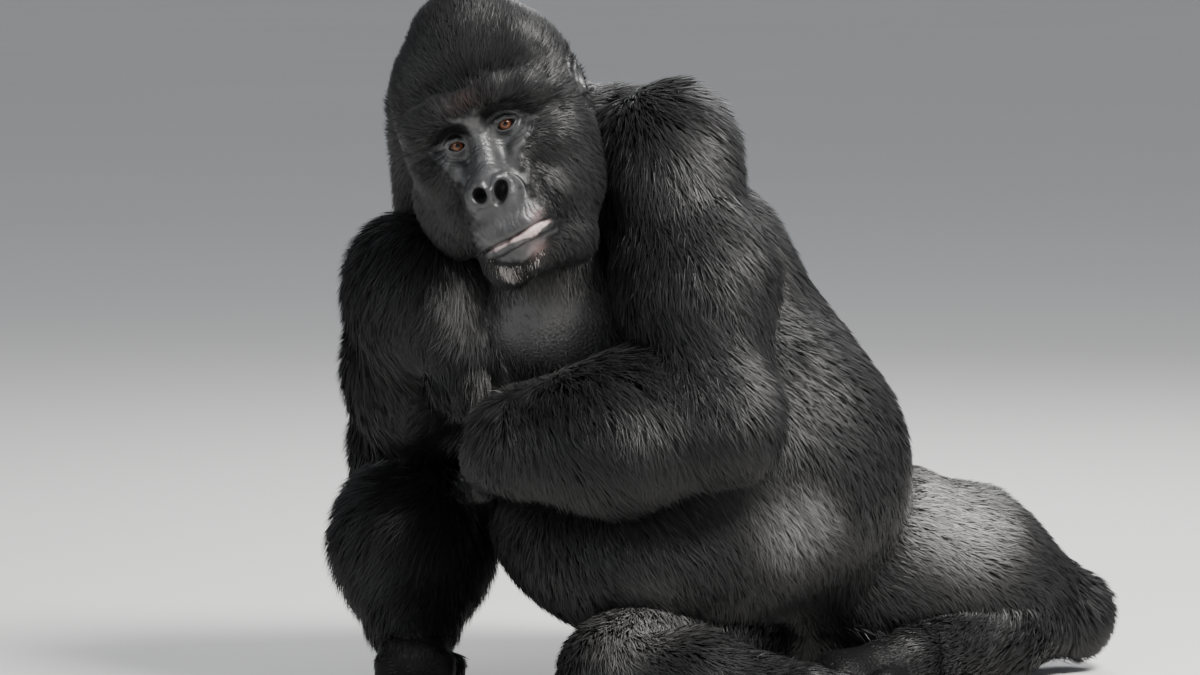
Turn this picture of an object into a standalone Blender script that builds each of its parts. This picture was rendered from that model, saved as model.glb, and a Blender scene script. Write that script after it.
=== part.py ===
"""A silverback mountain gorilla at life size, sitting on the ground and leaning on its right hand.

The left forearm crosses the belly and its hand lies in the crook of the right elbow. The left leg lies
folded out to the side, and the right leg is folded in front of the belly. The head is tipped over
towards the right shoulder and looks ahead.

Metres, +Z up, the floor at Z = 0. The animal faces -Y, so its left side is at +X. Each part of the body
is a run of soft lumps in a block of voxels, which OpenVDB turns into a mesh. Where two parts press
against each other, each stops half a gap short of the surface midway between them.
"""

import math

import bmesh
import bpy
import numpy as np
import openvdb
from mathutils import Euler, Matrix, Vector

# ---------------------------------------------------------------- driving sizes
SCALE = 1.0  # 1.0 is a silverback of about 160 kg
GAP = 0.0050  # between parts that press against each other
CUT = 0.0003  # between the pieces of one limb
RIM = 0.012  # how soft the rim of a part is where it meets another
FAR = 0.25  # the distance that an untouched voxel holds
REACH = 0.07  # how far round a lump its distance is written
FLOOR = 0.0
MIDDLE = Vector((0.183, -0.055, 0.0))  # middle of the footprint, in the layout's own coordinates

# ---------------------------------------------------------------- skeleton, in the layout's coordinates
SHOULDER_L = Vector((0.078, -0.130, 0.766))
ELBOW_L = Vector((0.158, -0.270, 0.425))
WRIST_L = Vector((-0.105, -0.262, 0.392))
SHOULDER_R = Vector((-0.243, -0.070, 0.585))
ELBOW_R = Vector((-0.270, 0.170, 0.335))
WRIST_R = Vector((-0.266, -0.050, 0.125))
HIP_L = Vector((0.365, 0.100, 0.155))
KNEE_L = Vector((0.682, 0.190, 0.084))
ANKLE_L = Vector((0.450, -0.060, 0.060))
HIP_R = Vector((0.205, 0.030, 0.128))
KNEE_R = Vector((0.015, -0.310, 0.077))
ANKLE_R = Vector((0.270, -0.410, 0.060))
HEAD = Vector((-0.136, -0.210, 0.812))  # midway between the ears
HEAD_NOD, HEAD_YAW, HEAD_TILT = (math.radians(a) for a in (-0.7, -13.0, -22.7))
HEAD_SIZE = 1.025
FINGER_STEP = 0.026
FINGER_RADII = [0.0195, 0.0180, 0.0135]  # at the root, at the bend and at the tip
TOE_STEP = 0.024
TOE_RADII = [0.0165, 0.0155, 0.0125]

HEAD_TURN = (
    Matrix.Rotation(HEAD_TILT, 3, "Y")
    @ Matrix.Rotation(HEAD_YAW, 3, "Z")
    @ Matrix.Rotation(HEAD_NOD, 3, "X")
)


# ---------------------------------------------------------------- lumps
class Lump:
    """A soft shape: a box that holds it, a function that gives distances, and how softly it joins."""

    def __init__(self, low, high, distance, blend, carve=False):
        self.low, self.high = np.array(low), np.array(high)
        self.distance, self.blend, self.carve = distance, blend, carve


def egg(centre, radii, turn=(0, 0, 0), blend=0.04, carve=False):
    """An ellipsoid. turn is in degrees about X, Y and Z."""
    centre, radii = Vector(centre), Vector(radii)
    spin = Euler([math.radians(a) for a in turn]).to_matrix()
    rows = [tuple(row) for row in spin.transposed()]

    def distance(x, y, z):
        near = far = 0.0
        for (a, b, c), r in zip(rows, radii):
            along = (x - centre.x) * a + (y - centre.y) * b + (z - centre.z) * c
            near = near + (along / r) ** 2
            far = far + (along / r**2) ** 2
        near, far = np.sqrt(near), np.sqrt(far)
        return near * (near - 1) / np.maximum(far, 1e-6)

    reach = Vector([math.sqrt(sum((spin[i][j] * radii[j]) ** 2 for j in range(3))) for i in range(3)])
    return Lump(centre - reach, centre + reach, distance, blend, carve)


def limb(start, end, start_radius, end_radius, blend=0.04, carve=False):
    """A tapering rod with round ends."""
    start, end = Vector(start), Vector(end)
    run = end - start

    def distance(x, y, z):
        dx, dy, dz = x - start.x, y - start.y, z - start.z
        t = np.clip((dx * run.x + dy * run.y + dz * run.z) / run.length_squared, 0, 1)
        off = np.sqrt((dx - t * run.x) ** 2 + (dy - t * run.y) ** 2 + (dz - t * run.z) ** 2)
        return off - (start_radius + (end_radius - start_radius) * t)

    low = [min(start[i] - start_radius, end[i] - end_radius) for i in range(3)]
    high = [max(start[i] + start_radius, end[i] + end_radius) for i in range(3)]
    return Lump(low, high, distance, blend, carve)


def string(points, radii, blend=0.02, carve=False):
    """Rods end to end through points."""
    pairs = zip(points, points[1:], radii, radii[1:])
    return [limb(a, b, ra, rb, blend, carve) for a, b, ra, rb in pairs]


def mixed(start, end, share):
    return Vector(start).lerp(Vector(end), share)


def both_sides(make):
    """The lumps that make(side) gives for the animal's left, 1, and for its right, -1."""
    return [lump for side in (1, -1) for lump in make(side)]


def placed(lumps, turn, size, origin):
    """Lumps modelled in a frame of their own, set down at origin."""
    back = turn.inverted() * (1 / size)
    rows = [tuple(row) for row in back]
    moved = []
    for lump in lumps:

        def distance(x, y, z, lump=lump):
            dx, dy, dz = x - origin.x, y - origin.y, z - origin.z
            own = [dx * a + dy * b + dz * c for a, b, c in rows]
            return lump.distance(*own) * size

        corners = [
            turn @ (Vector((x, y, z)) * size) + origin
            for x in (lump.low[0], lump.high[0])
            for y in (lump.low[1], lump.high[1])
            for z in (lump.low[2], lump.high[2])
        ]
        low = [min(c[i] for c in corners) for i in range(3)]
        high = [max(c[i] for c in corners) for i in range(3)]
        moved.append(Lump(low, high, distance, lump.blend * size, lump.carve))
    return moved


# ---------------------------------------------------------------- body parts
def torso():
    """Rump, belly, rib cage, shoulder girdle and neck, from the floor up."""
    lumps = [
        egg((0.305, 0.140, 0.165), (0.195, 0.200, 0.175), blend=0.06),  # rump
        egg((0.155, 0.005, 0.338), (0.294, 0.262, 0.250), (0, 12, 0), blend=0.08),  # belly
        egg((0.060, -0.085, 0.222), (0.205, 0.200, 0.138), (0, 8, 0), blend=0.08),  # hanging belly
        egg((0.092, 0.060, 0.450), (0.243, 0.215, 0.190), (10, -17, 0), blend=0.08),  # flanks
        egg((0.045, 0.045, 0.570), (0.235, 0.190, 0.180), (18, -24, 0), blend=0.08),  # rib cage
        egg((-0.045, 0.010, 0.670), (0.225, 0.150, 0.120), (22, -26, 0), blend=0.07),  # shoulder girdle
        egg((-0.060, -0.075, 0.560), (0.150, 0.110, 0.110), (20, -26, 0), blend=0.06),  # breast
        egg((0.070, 0.095, 0.640), (0.130, 0.110, 0.150), (10, -28, 20), blend=0.05),  # left shoulder blade
        egg((-0.130, 0.090, 0.570), (0.140, 0.100, 0.140), (10, -20, -10), blend=0.06),  # right shoulder blade
        egg((-0.068, -0.125, 0.635), (0.080, 0.070, 0.052), (0, -20, 0), blend=0.05),  # throat
        egg((-0.085, -0.020, 0.270), (0.062, 0.090, 0.085), blend=0.06),  # side of the belly by the elbow
        egg(head_point((-0.112, 0.036, -0.075)), (0.052, 0.070, 0.062), blend=0.05),  # ruff under the right ear
        egg((0.030, -0.070, 0.793), (0.080, 0.085, 0.086), blend=0.05),  # top of the left shoulder by the neck
        limb((-0.070, 0.010, 0.690), (-0.120, -0.085, 0.800), 0.145, 0.125, blend=0.06),  # neck
        limb((-0.170, 0.035, 0.630), (-0.184, -0.045, 0.830), 0.122, 0.119, blend=0.06),  # nape
    ]
    return lumps


def arm_left():
    """From the shoulder to the wrist, with the hair that hangs from it."""
    upper = mixed(SHOULDER_L, ELBOW_L, 0.45) + Vector((0.018, -0.005, 0.0))
    lower = mixed(ELBOW_L, WRIST_L, 0.55) + Vector((0, 0, -0.003))
    return [
        egg(SHOULDER_L + Vector((0.006, 0.015, 0.002)), (0.110, 0.125, 0.116), blend=0.05),  # deltoid
        limb(SHOULDER_L, upper, 0.098, 0.108, blend=0.05),
        limb(upper, ELBOW_L, 0.108, 0.088, blend=0.05),
        limb(ELBOW_L, lower, 0.086, 0.108, blend=0.05),
        limb(lower, WRIST_L, 0.108, 0.088, blend=0.05),
    ]


def hand_left():
    """Bent back from the wrist and tucked between the belly and the right elbow."""
    palm = Vector((-0.148, -0.180, 0.355))
    lumps = [limb(WRIST_L, palm, 0.060, 0.048, blend=0.03)]
    for step in range(4):
        base = palm + Vector((-0.012, 0.026, 0.036 - FINGER_STEP * step))
        bend = base + Vector((-0.010, 0.050, -0.008))
        tip = bend + Vector((-0.006, 0.046, -0.016))
        lumps += string([base, bend, tip], FINGER_RADII, blend=0.008)
    return lumps


def arm_right():
    """The arm that the animal leans on."""
    upper = mixed(SHOULDER_R, ELBOW_R, 0.5)
    lower = mixed(ELBOW_R, WRIST_R, 0.60)
    return [
        egg(SHOULDER_R + Vector((-0.002, 0.010, 0.0)), (0.112, 0.120, 0.118), blend=0.05),  # deltoid
        limb((-0.222, -0.100, 0.575), (-0.198, -0.138, 0.470), 0.070, 0.058, blend=0.04),  # inner side, on the breast
        limb(SHOULDER_R, upper, 0.104, 0.104, blend=0.05),
        limb(upper, ELBOW_R, 0.104, 0.086, blend=0.05),
        limb(ELBOW_R, lower, 0.086, 0.112, blend=0.05),
        limb(lower, WRIST_R, 0.112, 0.084, blend=0.05),
    ]


def hand_right():
    """The fist, with the middle bones of the fingers on the floor."""
    palm = Vector((-0.260, -0.120, 0.067))
    lumps = [limb(WRIST_R, palm, 0.054, 0.048, blend=0.03)]
    for step in range(4):
        across = (1.5 - step) * FINGER_STEP
        base = palm + Vector((across, -0.022, -0.006))
        knuckle = base + Vector((0.0, -0.034, -0.030))
        tip = knuckle + Vector((0.0, 0.050, -0.020))
        lumps += string([base, knuckle, tip], FINGER_RADII, blend=0.008)
    thumb = palm + Vector((0.052, 0.010, -0.014))
    lumps += string([palm, thumb, thumb + Vector((0.008, -0.030, -0.020))], [0.024, 0.0165, 0.0125], 0.01)
    return lumps


def thigh_left():
    """Lying out to the side."""
    middle = mixed(HIP_L, KNEE_L, 0.5) + Vector((0, 0, 0.018))
    return [
        egg(HIP_L + Vector((0.030, 0.0, 0.006)), (0.150, 0.150, 0.166), blend=0.05),
        limb(HIP_L, middle, 0.152, 0.141, blend=0.05),
        limb(middle, KNEE_L, 0.141, 0.078, blend=0.04),
    ]


def thigh_right():
    """Folded in front of the belly."""
    middle = mixed(HIP_R, KNEE_R, 0.45)
    return [
        limb(HIP_R, middle, 0.120, 0.100, blend=0.05),
        limb(middle, KNEE_R, 0.100, 0.076, blend=0.04),
    ]


def shin(knee, ankle):
    """From behind the knee, along the floor, back to the ankle."""
    start, calf = mixed(knee, ankle, 0.22), mixed(knee, ankle, 0.45)
    return [
        limb(start, calf, 0.066, 0.070, blend=0.02),
        limb(calf, ankle, 0.070, 0.048, blend=0.03),
    ]


def foot(ankle, ahead, inward):
    """Heel, sole, four toes and a big toe that stands off like a thumb."""
    up = Vector((0, 0, 1))
    heel = ankle - ahead * 0.030 - up * 0.028
    ball = ankle + ahead * 0.130 - up * 0.026
    lumps = [
        limb(ankle, ball, 0.042, 0.032, blend=0.03),
        limb(heel, ball, 0.036, 0.034, blend=0.03),
        limb(ball - inward * 0.020, ball + inward * 0.022, 0.030, 0.030, blend=0.03),
    ]
    for step in range(4):
        root = ball + inward * (1.4 - step) * TOE_STEP + ahead * 0.016 - up * 0.004
        middle = root + ahead * 0.036 + up * 0.004
        tip = middle + ahead * 0.022 - up * 0.014
        lumps += string([root, middle, tip], TOE_RADII, blend=0.008)
    root = heel + ahead * 0.085 + inward * 0.030 + up * 0.004
    lumps += string(
        [root, root + ahead * 0.040 + inward * 0.034, root + ahead * 0.080 + inward * 0.036 - up * 0.006],
        [0.024, 0.0185, 0.0140],
        blend=0.012,
    )
    return lumps


def foot_left():
    ahead = Vector((-0.86, -0.51, 0.0)).normalized()
    return foot(ANKLE_L, ahead, Vector((0.51, -0.86, 0.0)))


def foot_right():
    ahead = Vector((0.95, 0.10, 0.0)).normalized()
    return foot(ANKLE_R, ahead, Vector((-0.10, 0.95, 0.0)))


# The head is modelled in its own frame: the face looks along -Y, the animal's left is +X.
EYE_AT = Vector((0.0385, -0.1000, 0.0130))
EYE_RADIUS = 0.0125
LID_THICKNESS = 0.0035


def skull():
    """Skull cap with its crest, cheeks, brow, muzzle, nose and jaw."""
    lumps = [
        egg((0, 0.010, 0.045), (0.103, 0.112, 0.095), blend=0.05),  # skull cap
        egg((0, 0.022, 0.118), (0.090, 0.098, 0.088), blend=0.05),  # crest
        egg((0, 0.085, 0.020), (0.112, 0.085, 0.125), blend=0.05),  # nape
        egg((0, -0.060, -0.010), (0.088, 0.052, 0.062), blend=0.03),  # face plate
        egg((0, -0.088, -0.092), (0.072, 0.074, 0.072), blend=0.03),  # muzzle
        egg((0, -0.126, -0.108), (0.058, 0.040, 0.038), blend=0.02),  # upper lip
        egg((0, -0.090, -0.158), (0.056, 0.058, 0.040), blend=0.02),  # chin
    ]
    lumps += both_sides(
        lambda side: [
            egg((side * 0.072, -0.005, 0.055), (0.057, 0.078, 0.088), blend=0.04),  # temple
            egg((side * 0.073, -0.010, -0.052), (0.050, 0.078, 0.098), (0, 4 * side, 0), blend=0.05),  # cheek
            egg((side * 0.038, -0.045, -0.148), (0.046, 0.060, 0.056), (0, -20 * side, 0), blend=0.03),  # beard
            egg((side * 0.060, -0.080, -0.022), (0.036, 0.028, 0.026), blend=0.02),  # cheekbone
        ]
    )
    brow = [(-0.088, -0.070, 0.022), (-0.070, -0.094, 0.038), (-0.035, -0.108, 0.045), (0, -0.108, 0.046)]
    brow += [(-x, y, z) for x, y, z in reversed(brow[:-1])]
    lumps += string(brow, [0.018, 0.021, 0.021, 0.018, 0.021, 0.021, 0.018], blend=0.02)
    return lumps


def features():
    """Eye sockets and lids, nose, nostrils and the line of the mouth."""
    lumps = both_sides(
        lambda side: [
            egg((side * EYE_AT.x, -0.122, 0.012), (0.025, 0.020, 0.017), blend=0.012, carve=True),
            egg((side * EYE_AT.x, EYE_AT.y + 0.001, EYE_AT.z), (0.0185, 0.0165, 0.0165), blend=0.010),
            egg((side * EYE_AT.x, EYE_AT.y - 0.016, EYE_AT.z), (0.0145, 0.015, 0.0085), blend=0.003, carve=True),
        ]
    )
    lumps += [limb((0, -0.104, 0.020), (0, -0.146, -0.046), 0.013, 0.018, blend=0.018)]  # bridge
    lumps += both_sides(
        lambda side: [
            egg((side * 0.023, -0.150, -0.058), (0.021, 0.017, 0.021), (0, 20 * side, 0), blend=0.010),
            egg((side * 0.014, -0.168, -0.060), (0.0085, 0.015, 0.0115), (0, 24 * side, 0), 0.005, True),
        ]
    )
    mouth = [(-0.060, -0.108, -0.146), (-0.040, -0.144, -0.142), (0, -0.164, -0.138)]
    mouth += [(-x, y, z) for x, y, z in reversed(mouth[:-1])]
    lumps += string(mouth, [0.002, 0.004, 0.004, 0.004, 0.002], blend=0.004, carve=True)
    return lumps


def ear(side):
    """A small ear, close to the head."""
    return [
        egg((side * 0.132, 0.002, 0.026), (0.012, 0.020, 0.027), (0, -12 * side, 20 * side), blend=0.01),
        egg((side * 0.143, -0.007, 0.028), (0.008, 0.010, 0.015), (0, -12 * side, 20 * side), 0.005, True),
    ]


def in_head(lumps):
    return placed(lumps, HEAD_TURN, HEAD_SIZE, HEAD)


def head_point(point):
    return HEAD_TURN @ (Vector(point) * HEAD_SIZE) + HEAD


# ---------------------------------------------------------------- clay
class Clay:
    """A block of voxels. Each holds a distance: below zero inside the shape, above it outside."""

    def __init__(self, low, high, voxel):
        self.low, self.voxel = np.array(low), voxel
        counts = np.ceil((np.array(high) - self.low) / voxel).astype(int) + 1
        self.axes = [self.low[i] + voxel * np.arange(counts[i]) for i in range(3)]
        self.counts = counts

    def empty(self):
        return np.full(self.counts, FAR, np.float32)

    def model(self, lumps):
        """The distances of these lumps, each joined softly to those before it."""
        values = self.empty()
        for lump in lumps:
            first = np.floor((lump.low - REACH - self.low) / self.voxel).astype(int).clip(0, self.counts)
            last = np.ceil((lump.high + REACH - self.low) / self.voxel).astype(int).clip(0, self.counts)
            if (first >= last).any():
                continue
            block = tuple(slice(a, b) for a, b in zip(first, last))
            x, y, z = np.ix_(*(axis[a:b] for axis, a, b in zip(self.axes, first, last)))
            new = lump.distance(x, y, z).astype(np.float32)
            values[block] = joined(values[block], new, lump.blend, lump.carve)
        return values

    def mesh(self, values, name):
        """The surface where the distance is zero, as a mesh object."""
        grid = openvdb.FloatGrid(FAR)
        grid.copyFromArray(np.pad(values, 1, constant_values=FAR))
        points, quads = grid.convertToQuads(0.0)
        mesh = bpy.data.meshes.new(name)
        mesh.from_pydata((self.low + (points - 1) * self.voxel).tolist(), [], quads.tolist())
        return linked(name, mesh)


def joined(old, new, blend, carve):
    """Smooth union of two distances, or the first less the second."""
    if carve:
        return -joined(-old, new, blend, False)
    room = np.maximum(blend - np.abs(old - new), 0)
    return np.minimum(old, new) - room**2 / (4 * blend)


def linked(name, mesh):
    made = bpy.data.objects.new(name, mesh)
    bpy.context.scene.collection.objects.link(made)
    return made


# ---------------------------------------------------------------- pieces
def applied(thing, modifier_type, **settings):
    """Adds a modifier and applies it."""
    modifier = thing.modifiers.new(modifier_type.title(), modifier_type)
    for key, value in settings.items():
        setattr(modifier, key, value)
    graph = bpy.context.evaluated_depsgraph_get()
    mesh = bpy.data.meshes.new_from_object(thing.evaluated_get(graph))
    thing.modifiers.clear()
    old, thing.data = thing.data, mesh
    bpy.data.meshes.remove(old)


def sliced(mesh, point, normal):
    """Cuts a bmesh at a plane, drops what lies ahead of the normal and closes the cut."""
    everything = mesh.verts[:] + mesh.edges[:] + mesh.faces[:]
    cut = bmesh.ops.bisect_plane(
        mesh, geom=everything, dist=1e-6, plane_co=point, plane_no=normal, clear_outer=True
    )
    rim = [e for e in cut["geom_cut"] if isinstance(e, bmesh.types.BMEdge)]
    if rim:
        bmesh.ops.holes_fill(mesh, edges=rim, sides=0)


def largest_body(mesh):
    """Drops the crumbs that a cut can leave beside the piece."""
    left, bodies = set(mesh.verts), []
    while left:
        todo = [left.pop()]
        body = set(todo)
        while todo:
            for edge in todo.pop().link_edges:
                for vert in edge.verts:
                    if vert in left:
                        left.discard(vert)
                        body.add(vert)
                        todo.append(vert)
        bodies.append(body)
    bodies.sort(key=len)
    crumbs = [vert for body in bodies[:-1] for vert in body]
    bmesh.ops.delete(mesh, geom=crumbs, context="VERTS")


def material(name, colour, roughness):
    made = bpy.data.materials.new(name)
    made.use_nodes = True
    shader = made.node_tree.nodes["Principled BSDF"]
    shader.inputs["Base Color"].default_value = (*colour, 1.0)
    shader.inputs["Roughness"].default_value = roughness
    return made


def piece(name, whole, planes, finish):
    """The stretch of a whole limb between planes, each (point, normal ahead of which it is cut off)."""
    mesh = bmesh.new()
    mesh.from_mesh(whole.data)
    for point, normal in planes:
        sliced(mesh, point - normal * (CUT / 2), normal)
    sliced(mesh, Vector((0, 0, FLOOR)), Vector((0, 0, -1)))
    largest_body(mesh)
    bmesh.ops.triangulate(mesh, faces=mesh.faces[:])
    bmesh.ops.translate(mesh, verts=mesh.verts[:], vec=-MIDDLE)
    data = bpy.data.meshes.new(name)
    mesh.to_mesh(data)
    mesh.free()
    data.materials.append(finish)
    data.shade_smooth()
    return linked(name, data)


def eyeball(name, radius):
    ball = bmesh.new()
    bmesh.ops.create_icosphere(ball, subdivisions=2, radius=radius)
    data = bpy.data.meshes.new(name)
    ball.to_mesh(data)
    ball.free()
    data.shade_smooth()
    return linked(name, data)


def limb_cut(before, at, after):
    """The plane that halves the bend at a joint, facing the far side."""
    at = Vector(at)
    normal = ((at - Vector(before)).normalized() + (Vector(after) - at).normalized()).normalized()
    return at, normal


def span(planes, first, last):
    """The planes that keep what lies after plane first and before plane last."""
    kept = []
    if first is not None:
        point, normal = planes[first]
        kept.append((point, -normal))
    if last is not None:
        kept.append(planes[last])
    return kept


def main():
    for old in list(bpy.data.objects):
        bpy.data.objects.remove(old)
    coat = material("black_coat", (0.022, 0.021, 0.021), 0.62)
    silver = material("silver_coat", (0.16, 0.155, 0.15), 0.60)
    skin = material("bare_skin", (0.030, 0.029, 0.030), 0.42)
    eye_finish = material("eye", (0.10, 0.035, 0.012), 0.12)

    head = in_head(skull() + features())
    ears = {side: in_head(ear(side)) for side in (1, -1)}
    chains = {
        "torso": (torso(), 0.009, 1900),
        "head": (head, 0.0035, 2150),
        "ear_left": (ears[1], 0.003, 120),
        "ear_right": (ears[-1], 0.003, 120),
        "arm_left": (arm_left(), 0.007, 600),
        "hand_left": (hand_left(), 0.004, 340),
        "arm_right": (arm_right(), 0.007, 580),
        "hand_right": (hand_right(), 0.004, 360),
        "thigh_left": (thigh_left(), 0.008, 360),
        "shin_left": (shin(KNEE_L, ANKLE_L), 0.006, 220),
        "foot_left": (foot_left(), 0.0045, 380),
        "thigh_right": (thigh_right(), 0.008, 290),
        "shin_right": (shin(KNEE_R, ANKLE_R), 0.006, 220),
        "foot_right": (foot_right(), 0.0045, 380),
    }
    eyes = {side: head_point((side * EYE_AT.x, EYE_AT.y, EYE_AT.z)) for side in (1, -1)}
    wholes = {}
    for name, (lumps, voxel, triangles) in chains.items():
        low = np.min([l.low for l in lumps if not l.carve], axis=0) - 0.02
        high = np.max([l.high for l in lumps if not l.carve], axis=0) + 0.02
        clay = Clay(low, high, voxel)
        own = clay.model(lumps)
        rest = clay.empty()
        for other, (others, _, _) in chains.items():
            if other != name:
                rest = np.minimum(rest, clay.model(others))
        values = -joined(-own, -(own - rest + GAP) / 2, RIM, False)
        whole = clay.mesh(values.astype(np.float32), name + "_whole")
        whole.hide_render = True
        whole.display_type = "WIRE"
        count = sum(len(p.vertices) - 2 for p in whole.data.polygons)
        applied(whole, "DECIMATE", ratio=triangles / count, use_collapse_triangulate=True)
        if name == "head":
            for centre in eyes.values():
                socket = eyeball("socket", EYE_RADIUS * HEAD_SIZE + CUT)
                socket.location = centre
                bpy.context.view_layer.update()
                applied(whole, "BOOLEAN", object=socket, operation="DIFFERENCE", solver="EXACT")
                bpy.data.objects.remove(socket)
        wholes[name] = whole
        print(name, "triangles", count, "->", len(whole.data.polygons))

    spine = [Vector((0.30, 0.13, 0.10)), Vector((0.24, 0.09, 0.24)), Vector((0.09, 0.03, 0.50))]
    spine += [Vector((-0.055, 0.0, 0.715)), Vector((-0.10, -0.10, 0.80))]
    torso_cuts = [limb_cut(spine[i - 1], spine[i], spine[i + 1]) for i in (1, 2, 3)]
    for step, name in enumerate(("rump", "belly", "chest", "neck")):
        first, last = (step - 1 if step else None), (step if step < 3 else None)
        piece(name, wholes["torso"], span(torso_cuts, first, last), coat)
    for side, shoulder, elbow, wrist in (
        ("left", SHOULDER_L, ELBOW_L, WRIST_L),
        ("right", SHOULDER_R, ELBOW_R, WRIST_R),
    ):
        cut = [limb_cut(shoulder, elbow, wrist)]
        piece(f"upper_arm_{side}", wholes[f"arm_{side}"], span(cut, None, 0), coat)
        piece(f"forearm_{side}", wholes[f"arm_{side}"], span(cut, 0, None), coat)
        piece(f"hand_{side}", wholes[f"hand_{side}"], [], skin)
    for side in ("left", "right"):
        piece(f"thigh_{side}", wholes[f"thigh_{side}"], [], silver)
        piece(f"shin_{side}", wholes[f"shin_{side}"], [], coat)
        piece(f"foot_{side}", wholes[f"foot_{side}"], [], skin)
    piece("head", wholes["head"], [], coat)
    for side in ("left", "right"):
        piece(f"ear_{side}", wholes[f"ear_{side}"], [], skin)
        sign = 1 if side == "left" else -1
        made = eyeball(f"eye_{side}", EYE_RADIUS * HEAD_SIZE)
        made.data.materials.append(eye_finish)
        made.location = eyes[sign] - MIDDLE
    for whole in wholes.values():
        bpy.data.objects.remove(whole)


main()
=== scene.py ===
# %% [markdown]
# # A silverback at rest
# A mountain gorilla sits on the ground and leans on its right hand. Its left forearm lies across its belly.
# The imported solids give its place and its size. This file puts skin, coat, face, eyes and nails in that
# space. Everything is in metres. The animal looks along -Y, so its left side is at +X.

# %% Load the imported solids
import math
from concurrent.futures import ThreadPoolExecutor

import bmesh
import bpy
import numpy as np
import openvdb
from mathutils import Euler, Matrix, Vector, kdtree


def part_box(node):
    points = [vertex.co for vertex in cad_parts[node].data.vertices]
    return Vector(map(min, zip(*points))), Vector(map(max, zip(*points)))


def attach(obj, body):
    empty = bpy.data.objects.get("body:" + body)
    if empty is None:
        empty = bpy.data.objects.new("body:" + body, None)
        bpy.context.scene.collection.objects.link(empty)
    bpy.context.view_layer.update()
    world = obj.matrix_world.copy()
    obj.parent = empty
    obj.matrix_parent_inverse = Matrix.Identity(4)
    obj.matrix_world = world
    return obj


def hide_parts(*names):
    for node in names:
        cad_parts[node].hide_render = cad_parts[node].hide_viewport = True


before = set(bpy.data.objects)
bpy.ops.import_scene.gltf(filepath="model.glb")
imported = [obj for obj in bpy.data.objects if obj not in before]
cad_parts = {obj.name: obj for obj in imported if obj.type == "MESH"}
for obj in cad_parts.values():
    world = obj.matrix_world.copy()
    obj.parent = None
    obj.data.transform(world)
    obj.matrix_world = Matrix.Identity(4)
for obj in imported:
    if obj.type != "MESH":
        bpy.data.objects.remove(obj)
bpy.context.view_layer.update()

# %% [markdown]
# ## Where the joints are
# A body is easiest to lay out from its skeleton, so the joints come first.
# They are measured from a point between the feet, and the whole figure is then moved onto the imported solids.
# The two eyes are small and round, so their midpoint says exactly how far to move.

# %% The skeleton
SHOULDER_L = Vector((0.078, -0.130, 0.766))
ELBOW_L = Vector((0.158, -0.270, 0.425))
WRIST_L = Vector((-0.105, -0.262, 0.392))
SHOULDER_R = Vector((-0.243, -0.070, 0.585))
ELBOW_R = Vector((-0.270, 0.170, 0.335))
WRIST_R = Vector((-0.266, -0.050, 0.125))
HIP_L = Vector((0.365, 0.100, 0.155))
KNEE_L = Vector((0.682, 0.190, 0.084))
ANKLE_L = Vector((0.450, -0.060, 0.060))
HIP_R = Vector((0.205, 0.030, 0.128))
KNEE_R = Vector((0.015, -0.310, 0.077))
ANKLE_R = Vector((0.270, -0.410, 0.060))
HEAD = Vector((-0.136, -0.210, 0.812))  # midway between the ears
HEAD_SIZE = 1.025
HEAD_NOD, HEAD_YAW, HEAD_TILT = (math.radians(a) for a in (-0.7, -13.0, -22.7))
HEAD_TURN = (
    Matrix.Rotation(HEAD_TILT, 3, "Y")
    @ Matrix.Rotation(HEAD_YAW, 3, "Z")
    @ Matrix.Rotation(HEAD_NOD, 3, "X")
)
PACKED_EYES = Vector((0, -0.1000, 0.0130))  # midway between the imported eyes, in the head's own frame


def head_point(point):
    """A point of the head's own frame, in the layout."""
    return HEAD_TURN @ (Vector(point) * HEAD_SIZE) + HEAD


eye_corners = [corner for side in ("left", "right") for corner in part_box(f"eye_{side}")]
SHIFT = sum(eye_corners, Vector()) / 4 - head_point(PACKED_EYES)
print("layout moves by", tuple(round(v, 4) for v in SHIFT))

# %% [markdown]
# ## How hair lies
# Hair grows in a direction, its lie. On a limb it runs along the limb and sags a little, so one direction
# does for a whole lump. On the head it runs away from the face on all sides, and gravity pulls it down on
# the cheeks, so there the lie is worked out from where a point is.


# %% Lie of the hair
def steady(x, y, z):
    """The same lie all over a lump."""
    way = Vector((x, y, z)).normalized()
    return lambda points: np.tile(np.array(way), (len(points), 1))


def along(start, end, drop):
    """From one joint to the next, and downwards by a share."""
    way = (end - start).normalized() - Vector((0, 0, drop))
    return steady(*way)


def to_head(points):
    """Layout points in the head's own frame."""
    return (points - np.array(HEAD)) @ np.array(HEAD_TURN) / HEAD_SIZE


def swept(fall):
    """Away from the middle of the face, and down by a share below the temples."""

    def lie(points):
        own = to_head(points)
        way = own - np.array((0.0, -0.150, -0.030))
        way /= np.linalg.norm(way, axis=1, keepdims=True)
        way = way @ np.array(HEAD_TURN).T
        low = np.clip((0.06 - own[:, 2]) / 0.10, 0, 1)
        way[:, 2] -= fall * low
        return way

    return lie


thigh_way = along(HIP_L, KNEE_L, 0.35)(np.zeros((1, 3)))[0]
print("lie on the left thigh", [round(float(v), 2) for v in thigh_way])

# %% [markdown]
# ## Coats
# Hair also has a depth and a length, and they differ from one part of the body to the next: a lock is about
# a centimetre long on the chin and nearly six on the forearm. Each lump of the body names its coat. The
# skin later lies inside the lump by the coat's depth, and a lock near several lumps takes a blend of their
# coats.


# %% Coats
class Coat:
    """A kind of hair: its piece, its depth over the skin, and a lock's length, lie and width."""

    def __init__(self, piece, depth, length, lie, width=0.0016, density=1.0):
        self.piece, self.depth, self.length = piece, depth, length
        self.lie, self.width, self.density = lie, width, density


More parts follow.
